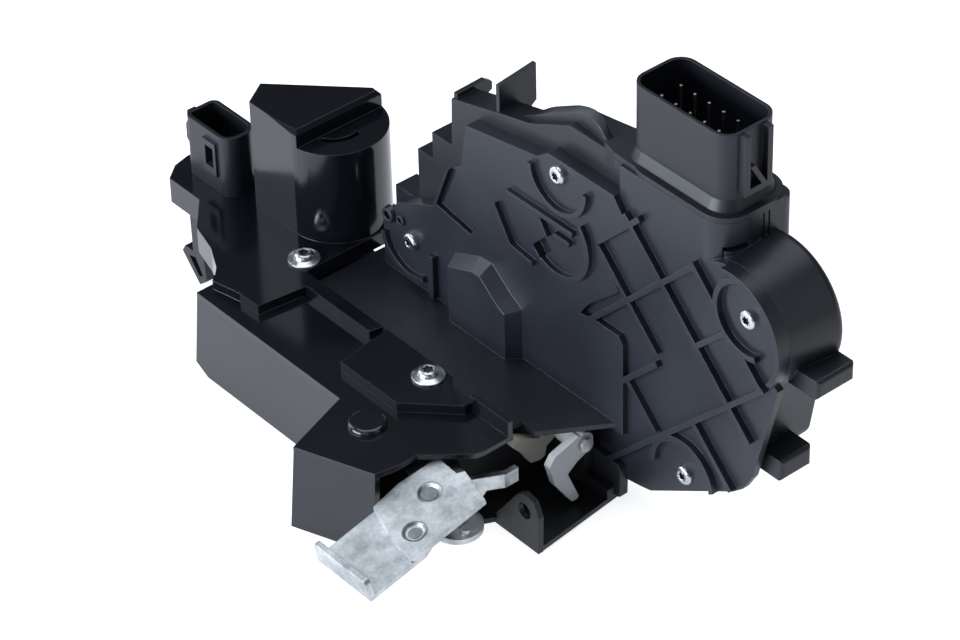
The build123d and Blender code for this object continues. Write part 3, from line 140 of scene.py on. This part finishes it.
def make_soft_edge():
    """Rounded edges: normal = bump(height) on bevel(radius), edge = how far the bevel leans away."""
    tree, given = group(
        "soft_edge",
        [
            ("Radius", FLOAT, 0.0004), ("Height", FLOAT, 0.5),
            ("Strength", FLOAT, 0.1), ("Distance", FLOAT, 0.0002),
        ],
        [("Normal", VECTOR), ("Edge", FLOAT)],
    )
    bevel = add(tree, "ShaderNodeBevel", {"Radius": given["Radius"]}, samples=4).outputs["Normal"]
    relief = {"Normal": bevel, **{label: given[label] for label in ("Height", "Strength", "Distance")}}
    bump = add(tree, "ShaderNodeBump", relief).outputs["Normal"]
    flat = add(tree, "ShaderNodeNewGeometry").outputs["Normal"]
    lean = add(tree, "ShaderNodeVectorMath", {0: bevel, 1: flat}, operation="DOT_PRODUCT")
    edge = ranged(tree, lean.outputs["Value"], 0.0, 1.0, 0.995, 0.86)
    add(tree, "NodeGroupOutput", {"Normal": bump, "Edge": edge})
    return tree


def make_dust():
    """Settled dust: mask = speck(noise) * upward(normal) * amount."""
    sockets = [("Amount", FLOAT, 0.3), ("Scale", FLOAT, 1400.0)]
    tree, given = group("settled_dust", sockets, [("Mask", FLOAT)])
    place = add(tree, "ShaderNodeTexCoord").outputs["Object"]
    noise = add(tree, "ShaderNodeTexNoise", {"Vector": place, "Scale": given["Scale"], "Detail": 2.0})
    speck = ranged(tree, noise.outputs["Fac"], 0.0, 1.0, 0.66, 0.74)
    flat = add(tree, "ShaderNodeNewGeometry").outputs["Normal"]
    height = add(tree, "ShaderNodeSeparateXYZ", {0: flat}).outputs["Z"]
    upward = ranged(tree, height, 0.0, 1.0, 0.2, 1.0)
    add(tree, "NodeGroupOutput", {"Mask": product(tree, product(tree, speck, upward), given["Amount"])})
    return tree


def make_plating():
    """Plated sheet: cloud = noise in many octaves, spangle = voronoi cells, scratch = stretched noise."""
    tree, given = group(
        "plated_sheet",
        [("Scale", FLOAT, 260.0), ("Stretch", VECTOR, (60.0, 900.0, 900.0))],
        [("Cloud", FLOAT), ("Spangle", FLOAT), ("Scratch", FLOAT)],
    )
    place = add(tree, "ShaderNodeTexCoord").outputs["Object"]
    noise = {"Vector": place, "Scale": 110.0, "Detail": 8.0, "Roughness": 0.78}
    cloud = add(tree, "ShaderNodeTexNoise", noise).outputs["Fac"]
    spangle = add(tree, "ShaderNodeTexVoronoi", {"Vector": place, "Scale": given["Scale"]}).outputs["Color"]
    drawn = add(tree, "ShaderNodeVectorMath", {0: place, 1: given["Stretch"]}, operation="MULTIPLY")
    noise = {"Vector": drawn.outputs[0], "Scale": 1.0, "Detail": 2.0}
    scratch = add(tree, "ShaderNodeTexNoise", noise).outputs["Fac"]
    add(tree, "NodeGroupOutput", {"Cloud": cloud, "Spangle": spangle, "Scratch": scratch})
    return tree


GRAIN = make_grain()
SOFT_EDGE = make_soft_edge()
DUST = make_dust()
PLATING = make_plating()

# ------------------------------------------------------------------ finishes

DUST_COLOUR = (0.35, 0.35, 0.37)
EDGE_LIFT = 3.5  # paler edge colour against the light tone: painted edge highlight, and edge wear
SHADE_SPAN = (0.35, 0.65)  # the part of the low shade that the tones are spread over
CLOUD_SPAN = (0.36, 0.62)
PLASTIC_SPREAD = (0.82, 1.2)  # least and most roughness, as shares of the set one
STEEL_SPREAD = (0.85, 1.25)
PLASTIC_EDGE = {"Radius": 0.00035, "Distance": 0.00006}  # metres
STEEL_EDGE = {"Radius": 0.0003, "Distance": 0.00005, "Strength": 0.12}


def principled(tree, inputs):
    """A Principled shader with these inputs on the material's surface."""
    shader = add(tree, "ShaderNodeBsdfPrincipled", inputs).outputs[0]
    add(tree, "ShaderNodeOutputMaterial", {"Surface": shader})


def plastic(name, dark, light, rough, grain, bump, edge, dust=0.12, edge_colour=None, coat=0.0):
    """Moulded plastic: tone by the low shade, grain bump, paler soft edges as painted highlight and wear,
    and a little dust.
    """
    material = bpy.data.materials.new(name)
    tree = blank_tree(material)
    marks = add(tree, "ShaderNodeGroup", {"Scale": grain}, node_tree=GRAIN).outputs
    relief = {"Height": marks["Height"], "Strength": bump, **PLASTIC_EDGE}
    soft = add(tree, "ShaderNodeGroup", relief, node_tree=SOFT_EDGE).outputs
    specks = add(tree, "ShaderNodeGroup", {"Amount": dust}, node_tree=DUST).outputs["Mask"]
    tone = blended(tree, ranged(tree, marks["Shade"], 0.0, 1.0, *SHADE_SPAN), dark, light)
    # Paler edges: painted highlight along every edge, and edge wear.
    pale = edge_colour or tuple(EDGE_LIFT * channel for channel in light)
    highlit_and_worn = blended(tree, ranged(tree, soft["Edge"], 0.0, edge), tone, pale)
    least, most = (rough * share for share in PLASTIC_SPREAD)
    principled(tree, {
        "Base Color": blended(tree, specks, highlit_and_worn, DUST_COLOUR),
        "Roughness": ranged(tree, marks["Shade"], least, most, *SHADE_SPAN),
        "Normal": soft["Normal"],
        "IOR": 1.52,
        "Coat Weight": coat,
        "Coat Roughness": 0.12,
    })
    return material


def steel(name, dark, light, rough, metallic=1.0):
    """Sheet or turned steel: clouded plating, fine spangle, drawn scratches and soft edges."""
    material = bpy.data.materials.new(name)
    tree = blank_tree(material)
    sheet = add(tree, "ShaderNodeGroup", node_tree=PLATING).outputs
    soft = add(tree, "ShaderNodeGroup", {"Height": sheet["Scratch"], **STEEL_EDGE}, node_tree=SOFT_EDGE)
    least, most = (rough * share for share in STEEL_SPREAD)
    principled(tree, {
        "Base Color": blended(tree, ranged(tree, sheet["Cloud"], 0.0, 1.0, *CLOUD_SPAN), dark, light),
        "Roughness": ranged(tree, sheet["Spangle"], least, most),
        "Normal": soft.outputs["Normal"],
        "Metallic": metallic,
    })
    return material


FINISH = {
    "cover_plastic": plastic(
        "gloss_cover_black", (0.0045, 0.0049, 0.0075), (0.0068, 0.0073, 0.011),
        rough=0.15, grain=1500.0, bump=0.012, edge=0.35, dust=0.03, coat=0.3,
    ),
    "case_plastic": plastic(
        "satin_case_black", (0.0085, 0.009, 0.013), (0.012, 0.0125, 0.018),
        rough=0.4, grain=1700.0, bump=0.16, edge=0.5, dust=0.04,
    ),
    "connector_plastic": plastic(
        "connector_black", (0.008, 0.0085, 0.012), (0.011, 0.0115, 0.016),
        rough=0.36, grain=1700.0, bump=0.12, edge=0.5, dust=0.04,
    ),
    "clip_plastic": plastic(
        "clip_black", (0.008, 0.0085, 0.012), (0.011, 0.0115, 0.016),
        rough=0.4, grain=1700.0, bump=0.1, edge=0.6,
    ),
    "body_plastic": plastic(
        "latch_body_black", (0.007, 0.0072, 0.0095), (0.010, 0.0102, 0.013),
        rough=0.48, grain=1500.0, bump=0.2, edge=0.5,
    ),
    "jacket_plastic": plastic(
        "claw_jacket_black", (0.008, 0.008, 0.009), (0.012, 0.012, 0.013),
        rough=0.5, grain=1500.0, bump=0.2, edge=0.5,
    ),
    "rubber": plastic(
        "buffer_rubber", (0.006, 0.006, 0.006), (0.010, 0.010, 0.010),
        rough=0.75, grain=900.0, bump=0.3, edge=0.1,
    ),
    "white_nylon": plastic(
        "white_nylon", (0.62, 0.62, 0.60), (0.72, 0.72, 0.70),
        rough=0.38, grain=1500.0, bump=0.08, edge=0.2, dust=0.0, edge_colour=(0.8, 0.8, 0.78),
    ),
    "ivory_nylon": plastic(
        "ivory_nylon", (0.52, 0.49, 0.40), (0.62, 0.58, 0.48),
        rough=0.4, grain=1500.0, bump=0.08, edge=0.2, dust=0.0, edge_colour=(0.7, 0.67, 0.58),
    ),
    "plated_steel": steel("zinc_plated_sheet", (0.37, 0.385, 0.40), (0.78, 0.79, 0.80), 0.38),
    "dark_steel": steel("phosphated_steel", (0.10, 0.10, 0.11), (0.16, 0.16, 0.17), 0.45),
    "black_steel": steel(
        "black_coated_sheet", (0.006, 0.006, 0.007), (0.011, 0.011, 0.013), 0.4, metallic=0.0,
    ),
    "pin_steel": steel("turned_steel", (0.50, 0.50, 0.50), (0.66, 0.66, 0.66), 0.28),
    "spring_steel": steel("drawn_wire", (0.38, 0.38, 0.40), (0.55, 0.55, 0.57), 0.3),
    "screw_steel": steel("plated_screw", (0.55, 0.56, 0.58), (0.74, 0.75, 0.77), 0.24),
    "motor_steel": steel("drawn_can", (0.50, 0.50, 0.52), (0.68, 0.68, 0.70), 0.3),
    "terminal_metal": steel("tinned_pin", (0.62, 0.60, 0.55), (0.78, 0.76, 0.70), 0.25),
}
# The ribbed cover shares the latch cover's slot, but is a satin moulding.
RIB_COVER = plastic(
    "satin_rib_cover", (0.0125, 0.0135, 0.0205), (0.0175, 0.019, 0.028),
    rough=0.37, grain=1500.0, bump=0.24, edge=0.5, dust=0.14,
)
# Painted shade: a dark steel for the deeper faces of the screw drives.
DRIVE_PAINTED_SHADE = steel("drive_recess_painted_shade", (0.015, 0.015, 0.017), (0.05, 0.05, 0.055), 0.5, metallic=0.4)
# Painted shade: darker steel for the rivets in the lever's dimples and for the dimples' linings.
DIMPLE_PAINTED_SHADE = steel("dimple_painted_shade_steel", (0.16, 0.165, 0.17), (0.36, 0.37, 0.38), 0.42)

OWN_FINISH = {"actuator_cover": RIB_COVER, "release_pivot": DIMPLE_PAINTED_SHADE, "clinch_rivet": DIMPLE_PAINTED_SHADE}
slots = {entry["node"]: entry["material_slot"] for entry in record["subparts"]}
for name, obj in nodes.items():
    obj.data.materials.clear()
    obj.data.materials.append(OWN_FINISH.get(name) or FINISH[slots[name]])

# ------------------------------------------------------------------ camera

IMAGE_PX = (960.0, 640.0)
FOCAL_PX = 4032.6
ORIGIN_PX = (543.0, 372.0)  # where the aim point falls in the image
AIM = Vector((0.049, 0.016, 0.0272))
AZIMUTH, ELEVATION, ROLL = math.radians(50.44), math.radians(37.73), math.radians(-1.57)
DISTANCE = 1.105
SENSOR_MM = 36.0


def place_camera():
    """Camera at a distance from the aim point, turned by azimuth, elevation and roll."""
    level = math.cos(ELEVATION)
    back = Vector((math.sin(AZIMUTH) * level, -math.cos(AZIMUTH) * level, math.sin(ELEVATION)))
    right = Vector((math.cos(AZIMUTH), math.sin(AZIMUTH), 0.0))
    up = back.cross(right)
    rolled_right = math.cos(ROLL) * right + math.sin(ROLL) * up
    rolled_up = -math.sin(ROLL) * right + math.cos(ROLL) * up
    across, down = ((origin - size / 2) / FOCAL_PX for origin, size in zip(ORIGIN_PX, IMAGE_PX))
    eye = AIM - (across * rolled_right - down * rolled_up - back) * DISTANCE
    lens = bpy.data.cameras.new("camera")
    lens.sensor_width = SENSOR_MM
    lens.lens = FOCAL_PX * SENSOR_MM / IMAGE_PX[0]
    lens.clip_start = 0.01
    lens.clip_end = 20.0
    camera = bpy.data.objects.new("camera", lens)
    scene.collection.objects.link(camera)
    turn = Matrix((rolled_right, rolled_up, back)).transposed().to_4x4()
    camera.matrix_world = Matrix.Translation(eye) @ turn
    scene.camera = camera


place_camera()
scene.view_settings.view_transform = "Standard"

# ------------------------------------------------------------------ light and floor

LIT_POINT = Vector((0.03, 0.0, 0.05))
COOL = (0.84, 0.92, 1.0)
SKY = (0.78, 0.88, 1.0, 1.0)
SKY_STRENGTH = 0.04
WHITE = (1.0, 1.0, 1.0, 1.0)
FLOOR_PAINT = (0.75, 0.76, 0.8, 1.0)
FLOOR_HALF = 3.0  # metres
GLOW = (0.8, 1.0)  # the floor's own light under the part and away from it
GLOW_REACH = (0.3, 0.7)  # metres from the origin between which it rises
SKY_IN_MIRRORS, FLOOR_IN_MIRRORS = 0.03, 0.55  # shares of their white that mirror rays see


def soft_box(name, place, size, power):
    """Area lamp at a place, turned to face the lit point."""
    data = bpy.data.lights.new(name, "AREA")
    data.shape = "RECTANGLE"
    data.size, data.size_y = size
    data.energy = power
    data.color = COOL
    obj = bpy.data.objects.new(name, data)
    scene.collection.objects.link(obj)
    aim = (LIT_POINT - Vector(place)).to_track_quat("-Z", "Y")
    obj.matrix_world = Matrix.Translation(place) @ aim.to_matrix().to_4x4()


def shown_share(tree, mirrored):
    """Share of a white backdrop that a ray sees: all for the camera, part for mirror and glass rays."""
    path = add(tree, "ShaderNodeLightPath").outputs
    bounced = {0: path["Is Glossy Ray"], 1: path["Is Transmission Ray"]}
    mirror = add(tree, "ShaderNodeMath", bounced, operation="MAXIMUM").outputs[0]
    seen = {0: path["Is Camera Ray"], 1: product(tree, mirror, mirrored)}
    return add(tree, "ShaderNodeMath", seen, operation="MAXIMUM").outputs[0]


def make_world():
    """White where it is seen, a faint cool light everywhere else."""
    world = bpy.data.worlds.new("studio")
    scene.world = world
    tree = blank_tree(world)
    lit = add(tree, "ShaderNodeBackground", {"Color": SKY, "Strength": SKY_STRENGTH}).outputs[0]
    seen = add(tree, "ShaderNodeBackground", {"Color": WHITE, "Strength": 1.0}).outputs[0]
    mix = add(tree, "ShaderNodeMixShader", {0: shown_share(tree, SKY_IN_MIRRORS), 1: lit, 2: seen})
    add(tree, "ShaderNodeOutputWorld", {"Surface": mix.outputs[0]})


def floor_paint():
    """Matt paint that also glows where it is seen, less near the part so that its shadow stays."""
    material = bpy.data.materials.new("pale_floor")
    tree = blank_tree(material)
    matt = add(tree, "ShaderNodeBsdfDiffuse", {"Color": FLOOR_PAINT}).outputs[0]
    place = add(tree, "ShaderNodeTexCoord").outputs["Object"]
    reach = add(tree, "ShaderNodeVectorMath", {0: place}, operation="LENGTH").outputs["Value"]
    strength = ranged(tree, reach, *GLOW, *GLOW_REACH)
    glow = add(tree, "ShaderNodeEmission", {"Color": WHITE, "Strength": strength}).outputs[0]
    both = add(tree, "ShaderNodeAddShader", {0: glow, 1: matt}).outputs[0]
    mix = add(tree, "ShaderNodeMixShader", {0: shown_share(tree, FLOOR_IN_MIRRORS), 1: matt, 2: both})
    add(tree, "ShaderNodeOutputMaterial", {"Surface": mix.outputs[0]})
    return material


soft_box("high_back_box", (-0.1, 0.25, 0.95), (0.9, 0.7), 4.05)
soft_box("high_front_box", (0.0, -0.35, 0.95), (0.8, 0.5), 1.1)
soft_box("left_box", (-0.8, -0.35, 0.5), (0.5, 0.8), 3.6)
soft_box("low_front_box", (-0.15, -0.95, 0.25), (0.8, 0.4), 12.6)
soft_box("right_box", (0.8, 0.25, 0.5), (0.4, 0.7), 0.7)
soft_box("right_front_box", (0.55, -0.75, 0.45), (0.6, 0.4), 0.8)
make_world()

floor_z = box_start[0][2]
corner_signs = ((-1, -1), (1, -1), (1, 1), (-1, 1))
floor_mesh = bpy.data.meshes.new("floor")
floor_corners = [(x * FLOOR_HALF, y * FLOOR_HALF, floor_z) for x, y in corner_signs]
floor_mesh.from_pydata(floor_corners, [], [(0, 1, 2, 3)])
floor_mesh.materials.append(floor_paint())
floor = bpy.data.objects.new("floor", floor_mesh)
scene.collection.objects.link(floor)

# ------------------------------------------------------------------ ways to make a surface

MM = 0.001  # metres
WELD = 1e-7  # metres within which points are merged
ROUND_POINTS = 72  # points of a turned ring
STAR_LOBES = 6
LOOP_POINTS = 220  # points of a moulding's outline
EDGE_STEPS = 6  # rings of a moulding's rounded edge
SMOOTH_SPAN = 7  # points in a running mean


def surface(name, rings, closed, materials):
    """Rings of points joined into a surface by quads (i, j), (i, j+1), (i+1, j+1), (i+1, j).

    rings is (rings, points, 3) in millimetres. With closed the last ring meets the first, as in
    a torus; otherwise the first and last ring are single points where the surface closes.
    """
    ring_count, point_count, _ = rings.shape
    spans = np.arange(ring_count if closed else ring_count - 1)
    i, j = np.meshgrid(spans, np.arange(point_count), indexing="ij")
    next_i, next_j = (i + 1) % ring_count, (j + 1) % point_count
    corners = ((i, j), (i, next_j), (next_i, next_j), (next_i, j))
    faces = np.stack([ring * point_count + point for ring, point in corners], axis=-1)
    mesh = bpy.data.meshes.new(name)
    mesh.from_pydata((rings * MM).reshape(-1, 3).tolist(), [], faces.reshape(-1, 4).tolist())
    merged = bmesh.new()
    merged.from_mesh(mesh)
    bmesh.ops.remove_doubles(merged, verts=merged.verts, dist=WELD)
    bmesh.ops.recalc_face_normals(merged, faces=merged.faces)
    merged.to_mesh(mesh)
    merged.free()
    for material in materials:
        mesh.materials.append(material)
    obj = bpy.data.objects.new(name, mesh)
    scene.collection.objects.link(obj)
    return obj


def capped(rings):
    """Rings with a single point, their end ring's mean, added at each end."""
    ends = rings[[0, -1]].mean(axis=1, keepdims=True).repeat(rings.shape[1], axis=1)
    return np.concatenate([ends[:1], rings, ends[1:]])


def running_mean(values, ends):
    """Mean of each value and its neighbours, with np.pad's mode for the ends."""
    padded = np.pad(values, SMOOTH_SPAN // 2, mode=ends)
    return np.convolve(padded, np.ones(SMOOTH_SPAN) / SMOOTH_SPAN, mode="valid")


def turned(centre, axis, profile, lobes=0.0):
    """Rings centre + r (cos u a + sin u b) + h axis, one for each (r, h) of the profile.

    lobes gives a ring's share of a six lobed star: r (1 + share cos 6u).
    """
    radius, height = np.array(profile, float).T
    axis = np.array(axis, float) / np.linalg.norm(axis)
    a = np.cross(axis, (0.0, 0.0, 1.0) if abs(axis[2]) < 0.9 else (1.0, 0.0, 0.0))
    a /= np.linalg.norm(a)
    b = np.cross(axis, a)
    u = np.linspace(0.0, 2.0 * np.pi, ROUND_POINTS, endpoint=False)
    share = np.broadcast_to(lobes, radius.shape)
    r = radius[:, None] * (1.0 + share[:, None] * np.cos(STAR_LOBES * u))
    spin = np.cos(u)[:, None] * a + np.sin(u)[:, None] * b
    return np.array(centre) + r[..., None] * spin + height[:, None, None] * axis


def moulding(name, outline, near, far, soft, material):
    """Closed slab with rounded corners and edges, outline in x and z, from near to far in y.

    The outline is resampled evenly and smoothed by a running mean; towards each end the loop is
    moved in along its normal by soft (1 - sin t) while y goes on by soft (1 - cos t).
    """
    corners = np.array(outline + outline[:1], float)
    run = np.concatenate([[0.0], np.cumsum(np.hypot(*np.diff(corners, axis=0).T))])
    even = np.linspace(0.0, run[-1], LOOP_POINTS, endpoint=False)
    x, z = (running_mean(np.interp(even, run, corners[:, k]), "wrap") for k in (0, 1))
    loop = np.stack([x, z], axis=1)
    slope = np.roll(loop, -1, axis=0) - np.roll(loop, 1, axis=0)
    winding = np.sign(np.sum(x * np.roll(z, -1) - z * np.roll(x, -1)))
    outward = winding * np.stack([slope[:, 1], -slope[:, 0]], axis=1)
    outward /= np.hypot(outward[:, 0], outward[:, 1])[:, None]
    t = np.linspace(0.0, np.pi / 2, EDGE_STEPS)
    inset = soft * (1.0 - np.sin(t))
    step = soft * (1.0 - np.cos(t))
    inset = np.concatenate([inset, inset[::-1]])
    depth = np.concatenate([near + step, (far - step)[::-1]])
    flat = loop[None] - inset[:, None, None] * outward[None]
    y = np.broadcast_to(depth[:, None], flat.shape[:2])
    rings = np.stack([flat[..., 0], y, flat[..., 1]], axis=-1)
    return surface(name, capped(rings), False, [material])


def two_tone(obj, test):
    """Second material on the faces whose centres, (n, 3) in millimetres, pass the test."""
    mesh = obj.data
    middle = np.empty(len(mesh.polygons) * 3)
    mesh.polygons.foreach_get("center", middle)
    mesh.polygons.foreach_set("material_index", test(middle.reshape(-1, 3) / MM).astype(int))
    mesh.update()


# ------------------------------------------------------------------ mouldings of the case and latch

mouldings = {
    # name: slot, near and far y, edge radius, outline of (x, z) corners
    "case_low_side": (
        "case_plastic", 26.4, 41.4, 1.4,
        [
            (132.0, 66.7), (127.5, 41.3), (125.0, 38.2), (117.0, 36.5), (113.0, 40.0), (112.6, 58.0),
            (113.2, 65.4), (116.0, 64.4), (121.6, 63.6), (127.0, 64.4),
        ],
    ),
    "case_corner_wall": (
        "body_plastic", 18.55, 20.3, 0.35,
        [(60.0, 1.9), (78.9, 1.9), (79.1, 11.5), (82.5, 14.5), (82.5, 26.0), (60.0, 26.0)],
    ),
    "case_corner_sill": (
        "body_plastic", 15.74, 18.8, 0.3,
        [(64.0, 1.9), (80.6, 1.9), (80.9, 11.8), (79.7, 13.2), (64.0, 13.2)],
    ),
    "connector_key_hook": (
        "connector_plastic", -0.6, 2.0, 0.3,
        [
            (-85.9, 48.4), (-88.2, 48.2), (-88.9, 46.8), (-88.9, 42.0),
            (-88.1, 40.8), (-87.5, 42.0), (-87.2, 43.2), (-85.9, 43.4),
        ],
    ),
}
for name, (slot, near, far, soft, outline) in mouldings.items():
    piece = moulding(name, outline, near, far, soft, FINISH[slot])
    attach(piece, "frame")

# ------------------------------------------------------------------ lobed drives in the screw heads

STAR_SHARE = 0.80  # mean radius of the star over that of the recess in the head
SHADE_DEPTH = 0.09  # deeper faces take painted shade, a darker steel
PAN_RECESS, PAN_DEPTH = 1.33, 1.15
FLANGE_RECESS, FLANGE_DEPTH = 1.68, 0.78
FRONT, TOP = (0, -1, 0), (0, 0, 1)
drives = {
    # name: centre of the head's face, outward axis, recess radius, recess depth
    "cover_drive_a": ((127.5, 16.2, 89.8), FRONT, PAN_RECESS, PAN_DEPTH),
    "cover_drive_b": ((104.7, 16.2, 24.4), FRONT, PAN_RECESS, PAN_DEPTH),
    "cover_drive_c": ((56.9, 14.2, 98.1), FRONT, PAN_RECESS, PAN_DEPTH),
    "cover_drive_d": ((-6.0, 14.2, 41.8), FRONT, PAN_RECESS, PAN_DEPTH),
    "flange_drive_a": ((-29.8, -4.6, 34.9), TOP, FLANGE_RECESS, FLANGE_DEPTH),
    "flange_drive_b": ((34.4, -12.6, 34.9), TOP, FLANGE_RECESS, FLANGE_DEPTH),
}


def screw_drive(name, spot, axis, wide, deep):
    """Plug that fills the round recess of a screw head, with a six lobed star sunk in its face, whose
    deeper faces take painted shade.
    """
    star = wide * STAR_SHARE
    profile = [
        # radius, height over the head's face: underside and wall of the plug, its face, wall and
        # floor of the star
        (0.0, -deep), (wide, -deep), (wide, -0.04), (star * 1.06, -0.06), (star, -0.16),
        (star * 0.95, -deep * 0.85), (star * 0.35, -deep * 0.9), (0.0, -deep * 0.94),
    ]
    lobes = [0.0, 0.0, 0.0, 0.14, 0.17, 0.17, 0.1, 0.0]
    piece = surface(name, turned(spot, axis, profile, lobes), False, [FINISH["screw_steel"], DRIVE_PAINTED_SHADE])
    two_tone(piece, lambda middle: (middle - spot) @ np.array(axis, float) < -SHADE_DEPTH)
    return piece


for name, measures in drives.items():
    piece = screw_drive(name, *measures)
    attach(piece, "frame")

# ------------------------------------------------------------------ small bosses on the ribbed cover

HOLE_SHARE = 0.52  # radius of the hole's painted shade over that of the boss
bosses = {
    # name: centre on the cover's face, outer radius, height
    "edge_boss_a": ((-15.6, 16.0, 46.0), 2.3, 1.5),
    "edge_boss_b": ((-10.6, 16.0, 46.6), 1.6, 1.0),
}


def edge_boss(name, spot, wide, tall):
    """Round boss on the cover's face, with painted shade, the black sheet finish, in its blind hole."""
    profile = [
        # radius, height over the face: foot, outer wall, rounded top, wall and floor of the hole
        (0.0, -0.4), (wide * 1.15, -0.4), (wide * 1.12, 0.0), (wide, tall * 0.85), (wide * 0.9, tall),
        (wide * 0.62, tall), (wide * 0.54, tall * 0.9), (wide * 0.5, 0.08), (0.0, 0.05),
    ]

    def in_hole(middle):
        off_x, off_y, off_z = (middle - spot).T
        return (np.hypot(off_x, off_z) < HOLE_SHARE * wide) & (off_y < 0.0)

    # The hole's faces take the black sheet finish as painted shade.
    piece = surface(name, turned(spot, FRONT, profile), False, [RIB_COVER, FINISH["black_steel"]])
    two_tone(piece, in_hole)
    return piece


for name, measures in bosses.items():
    piece = edge_boss(name, *measures)
    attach(piece, "frame")

# ------------------------------------------------------------------ curved rim on top of the gear case

RIM_PATH = np.array([
    # x, y of the front face, height of the front edge
    (34.0, 22.6, 101.8), (38.0, 22.6, 104.1), (40.9, 22.6, 105.7), (45.8, 22.6, 108.5),
    (50.6, 22.6, 111.2), (55.4, 22.5, 113.9), (59.5, 22.4, 115.4), (62.8, 22.2, 115.9),
    (66.0, 21.8, 115.3), (68.6, 21.3, 113.8), (71.2, 20.9, 111.9),
])
CASE_TOP = ([26.9, 40.2, 56.3, 72.0], [100.3, 103.7, 111.3, 111.3])  # x and height of the case below
RIM_SINK = 1.2  # how far the rim stands in the case
RIM_LEAST = 0.4  # least height of the front edge over its foot
RIM_SECTION = np.array([
    # distance back from the front face, height over the front edge; the first and last are the foot
    (0.0, 0.0), (0.0, -0.3), (0.14, 0.0), (0.6, 0.5), (1.3, 1.1),
    (1.85, 1.5), (2.1, 1.45), (2.25, 1.1), (2.25, 0.0),
])
RIM_STATIONS = 90
RISE_START, RISE_RUN = 36.0, 10.0  # x where the land starts to rise to the back, and over how far
RISE_END, FALL_RUN = 71.0, 5.0


def case_top_rim():
    """Plate that follows the case top: (x, front(x) + back(v), edge(x) + share(x) rise(v)).

    The first and last point of each section lie on the foot, and share is a smooth step from 0
    to 1 and back along x, so the land rises to the back only in the middle of the rim.
    """
    x = np.linspace(RIM_PATH[0, 0], RIM_PATH[-1, 0], RIM_STATIONS)
    front = np.interp(x, RIM_PATH[:, 0], RIM_PATH[:, 1])
    edge = running_mean(np.interp(x, RIM_PATH[:, 0], RIM_PATH[:, 2]), "edge")
    foot = np.interp(x, *CASE_TOP) - RIM_SINK
    share = np.clip(np.minimum((x - RISE_START) / RISE_RUN, (RISE_END - x) / FALL_RUN), 0.0, 1.0)
    share = share * share * (3.0 - 2.0 * share)
    back, rise = RIM_SECTION.T
    rings = np.empty((len(x), len(back), 3))
    rings[..., 0] = x[:, None]
    rings[..., 1] = front[:, None] + back
    rings[..., 2] = np.maximum(edge, foot + RIM_LEAST)[:, None] + share[:, None] * rise
    rings[:, (0, -1), 2] = foot[:, None]
    return surface("case_top_rim", capped(rings), False, [FINISH["case_plastic"]])


rim = case_top_rim()
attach(rim, "frame")

# ------------------------------------------------------------------ linings of the lever's two dimples, darker steel as painted shade

LEVER_NORMAL = (0.0, -0.2199, 0.9755)
LINING = [
    # radius, height over the plate: inner wall, slope up to the lip, outer wall and underside
    (2.7, -0.66), (2.78, -0.40), (3.0, -0.22), (3.34, 0.03),
    (3.42, 0.05), (3.6, -0.03), (3.6, -0.6), (2.7, -0.7),
]
dimples = {"pivot_dimple": (65.4, -38.26, 25.34), "clinch_dimple": (72.7, -49.80, 22.74)}
for name, spot in dimples.items():
    piece = surface(name, turned(spot, LEVER_NORMAL, LINING), True, [DIMPLE_PAINTED_SHADE])
    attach(piece, "release")
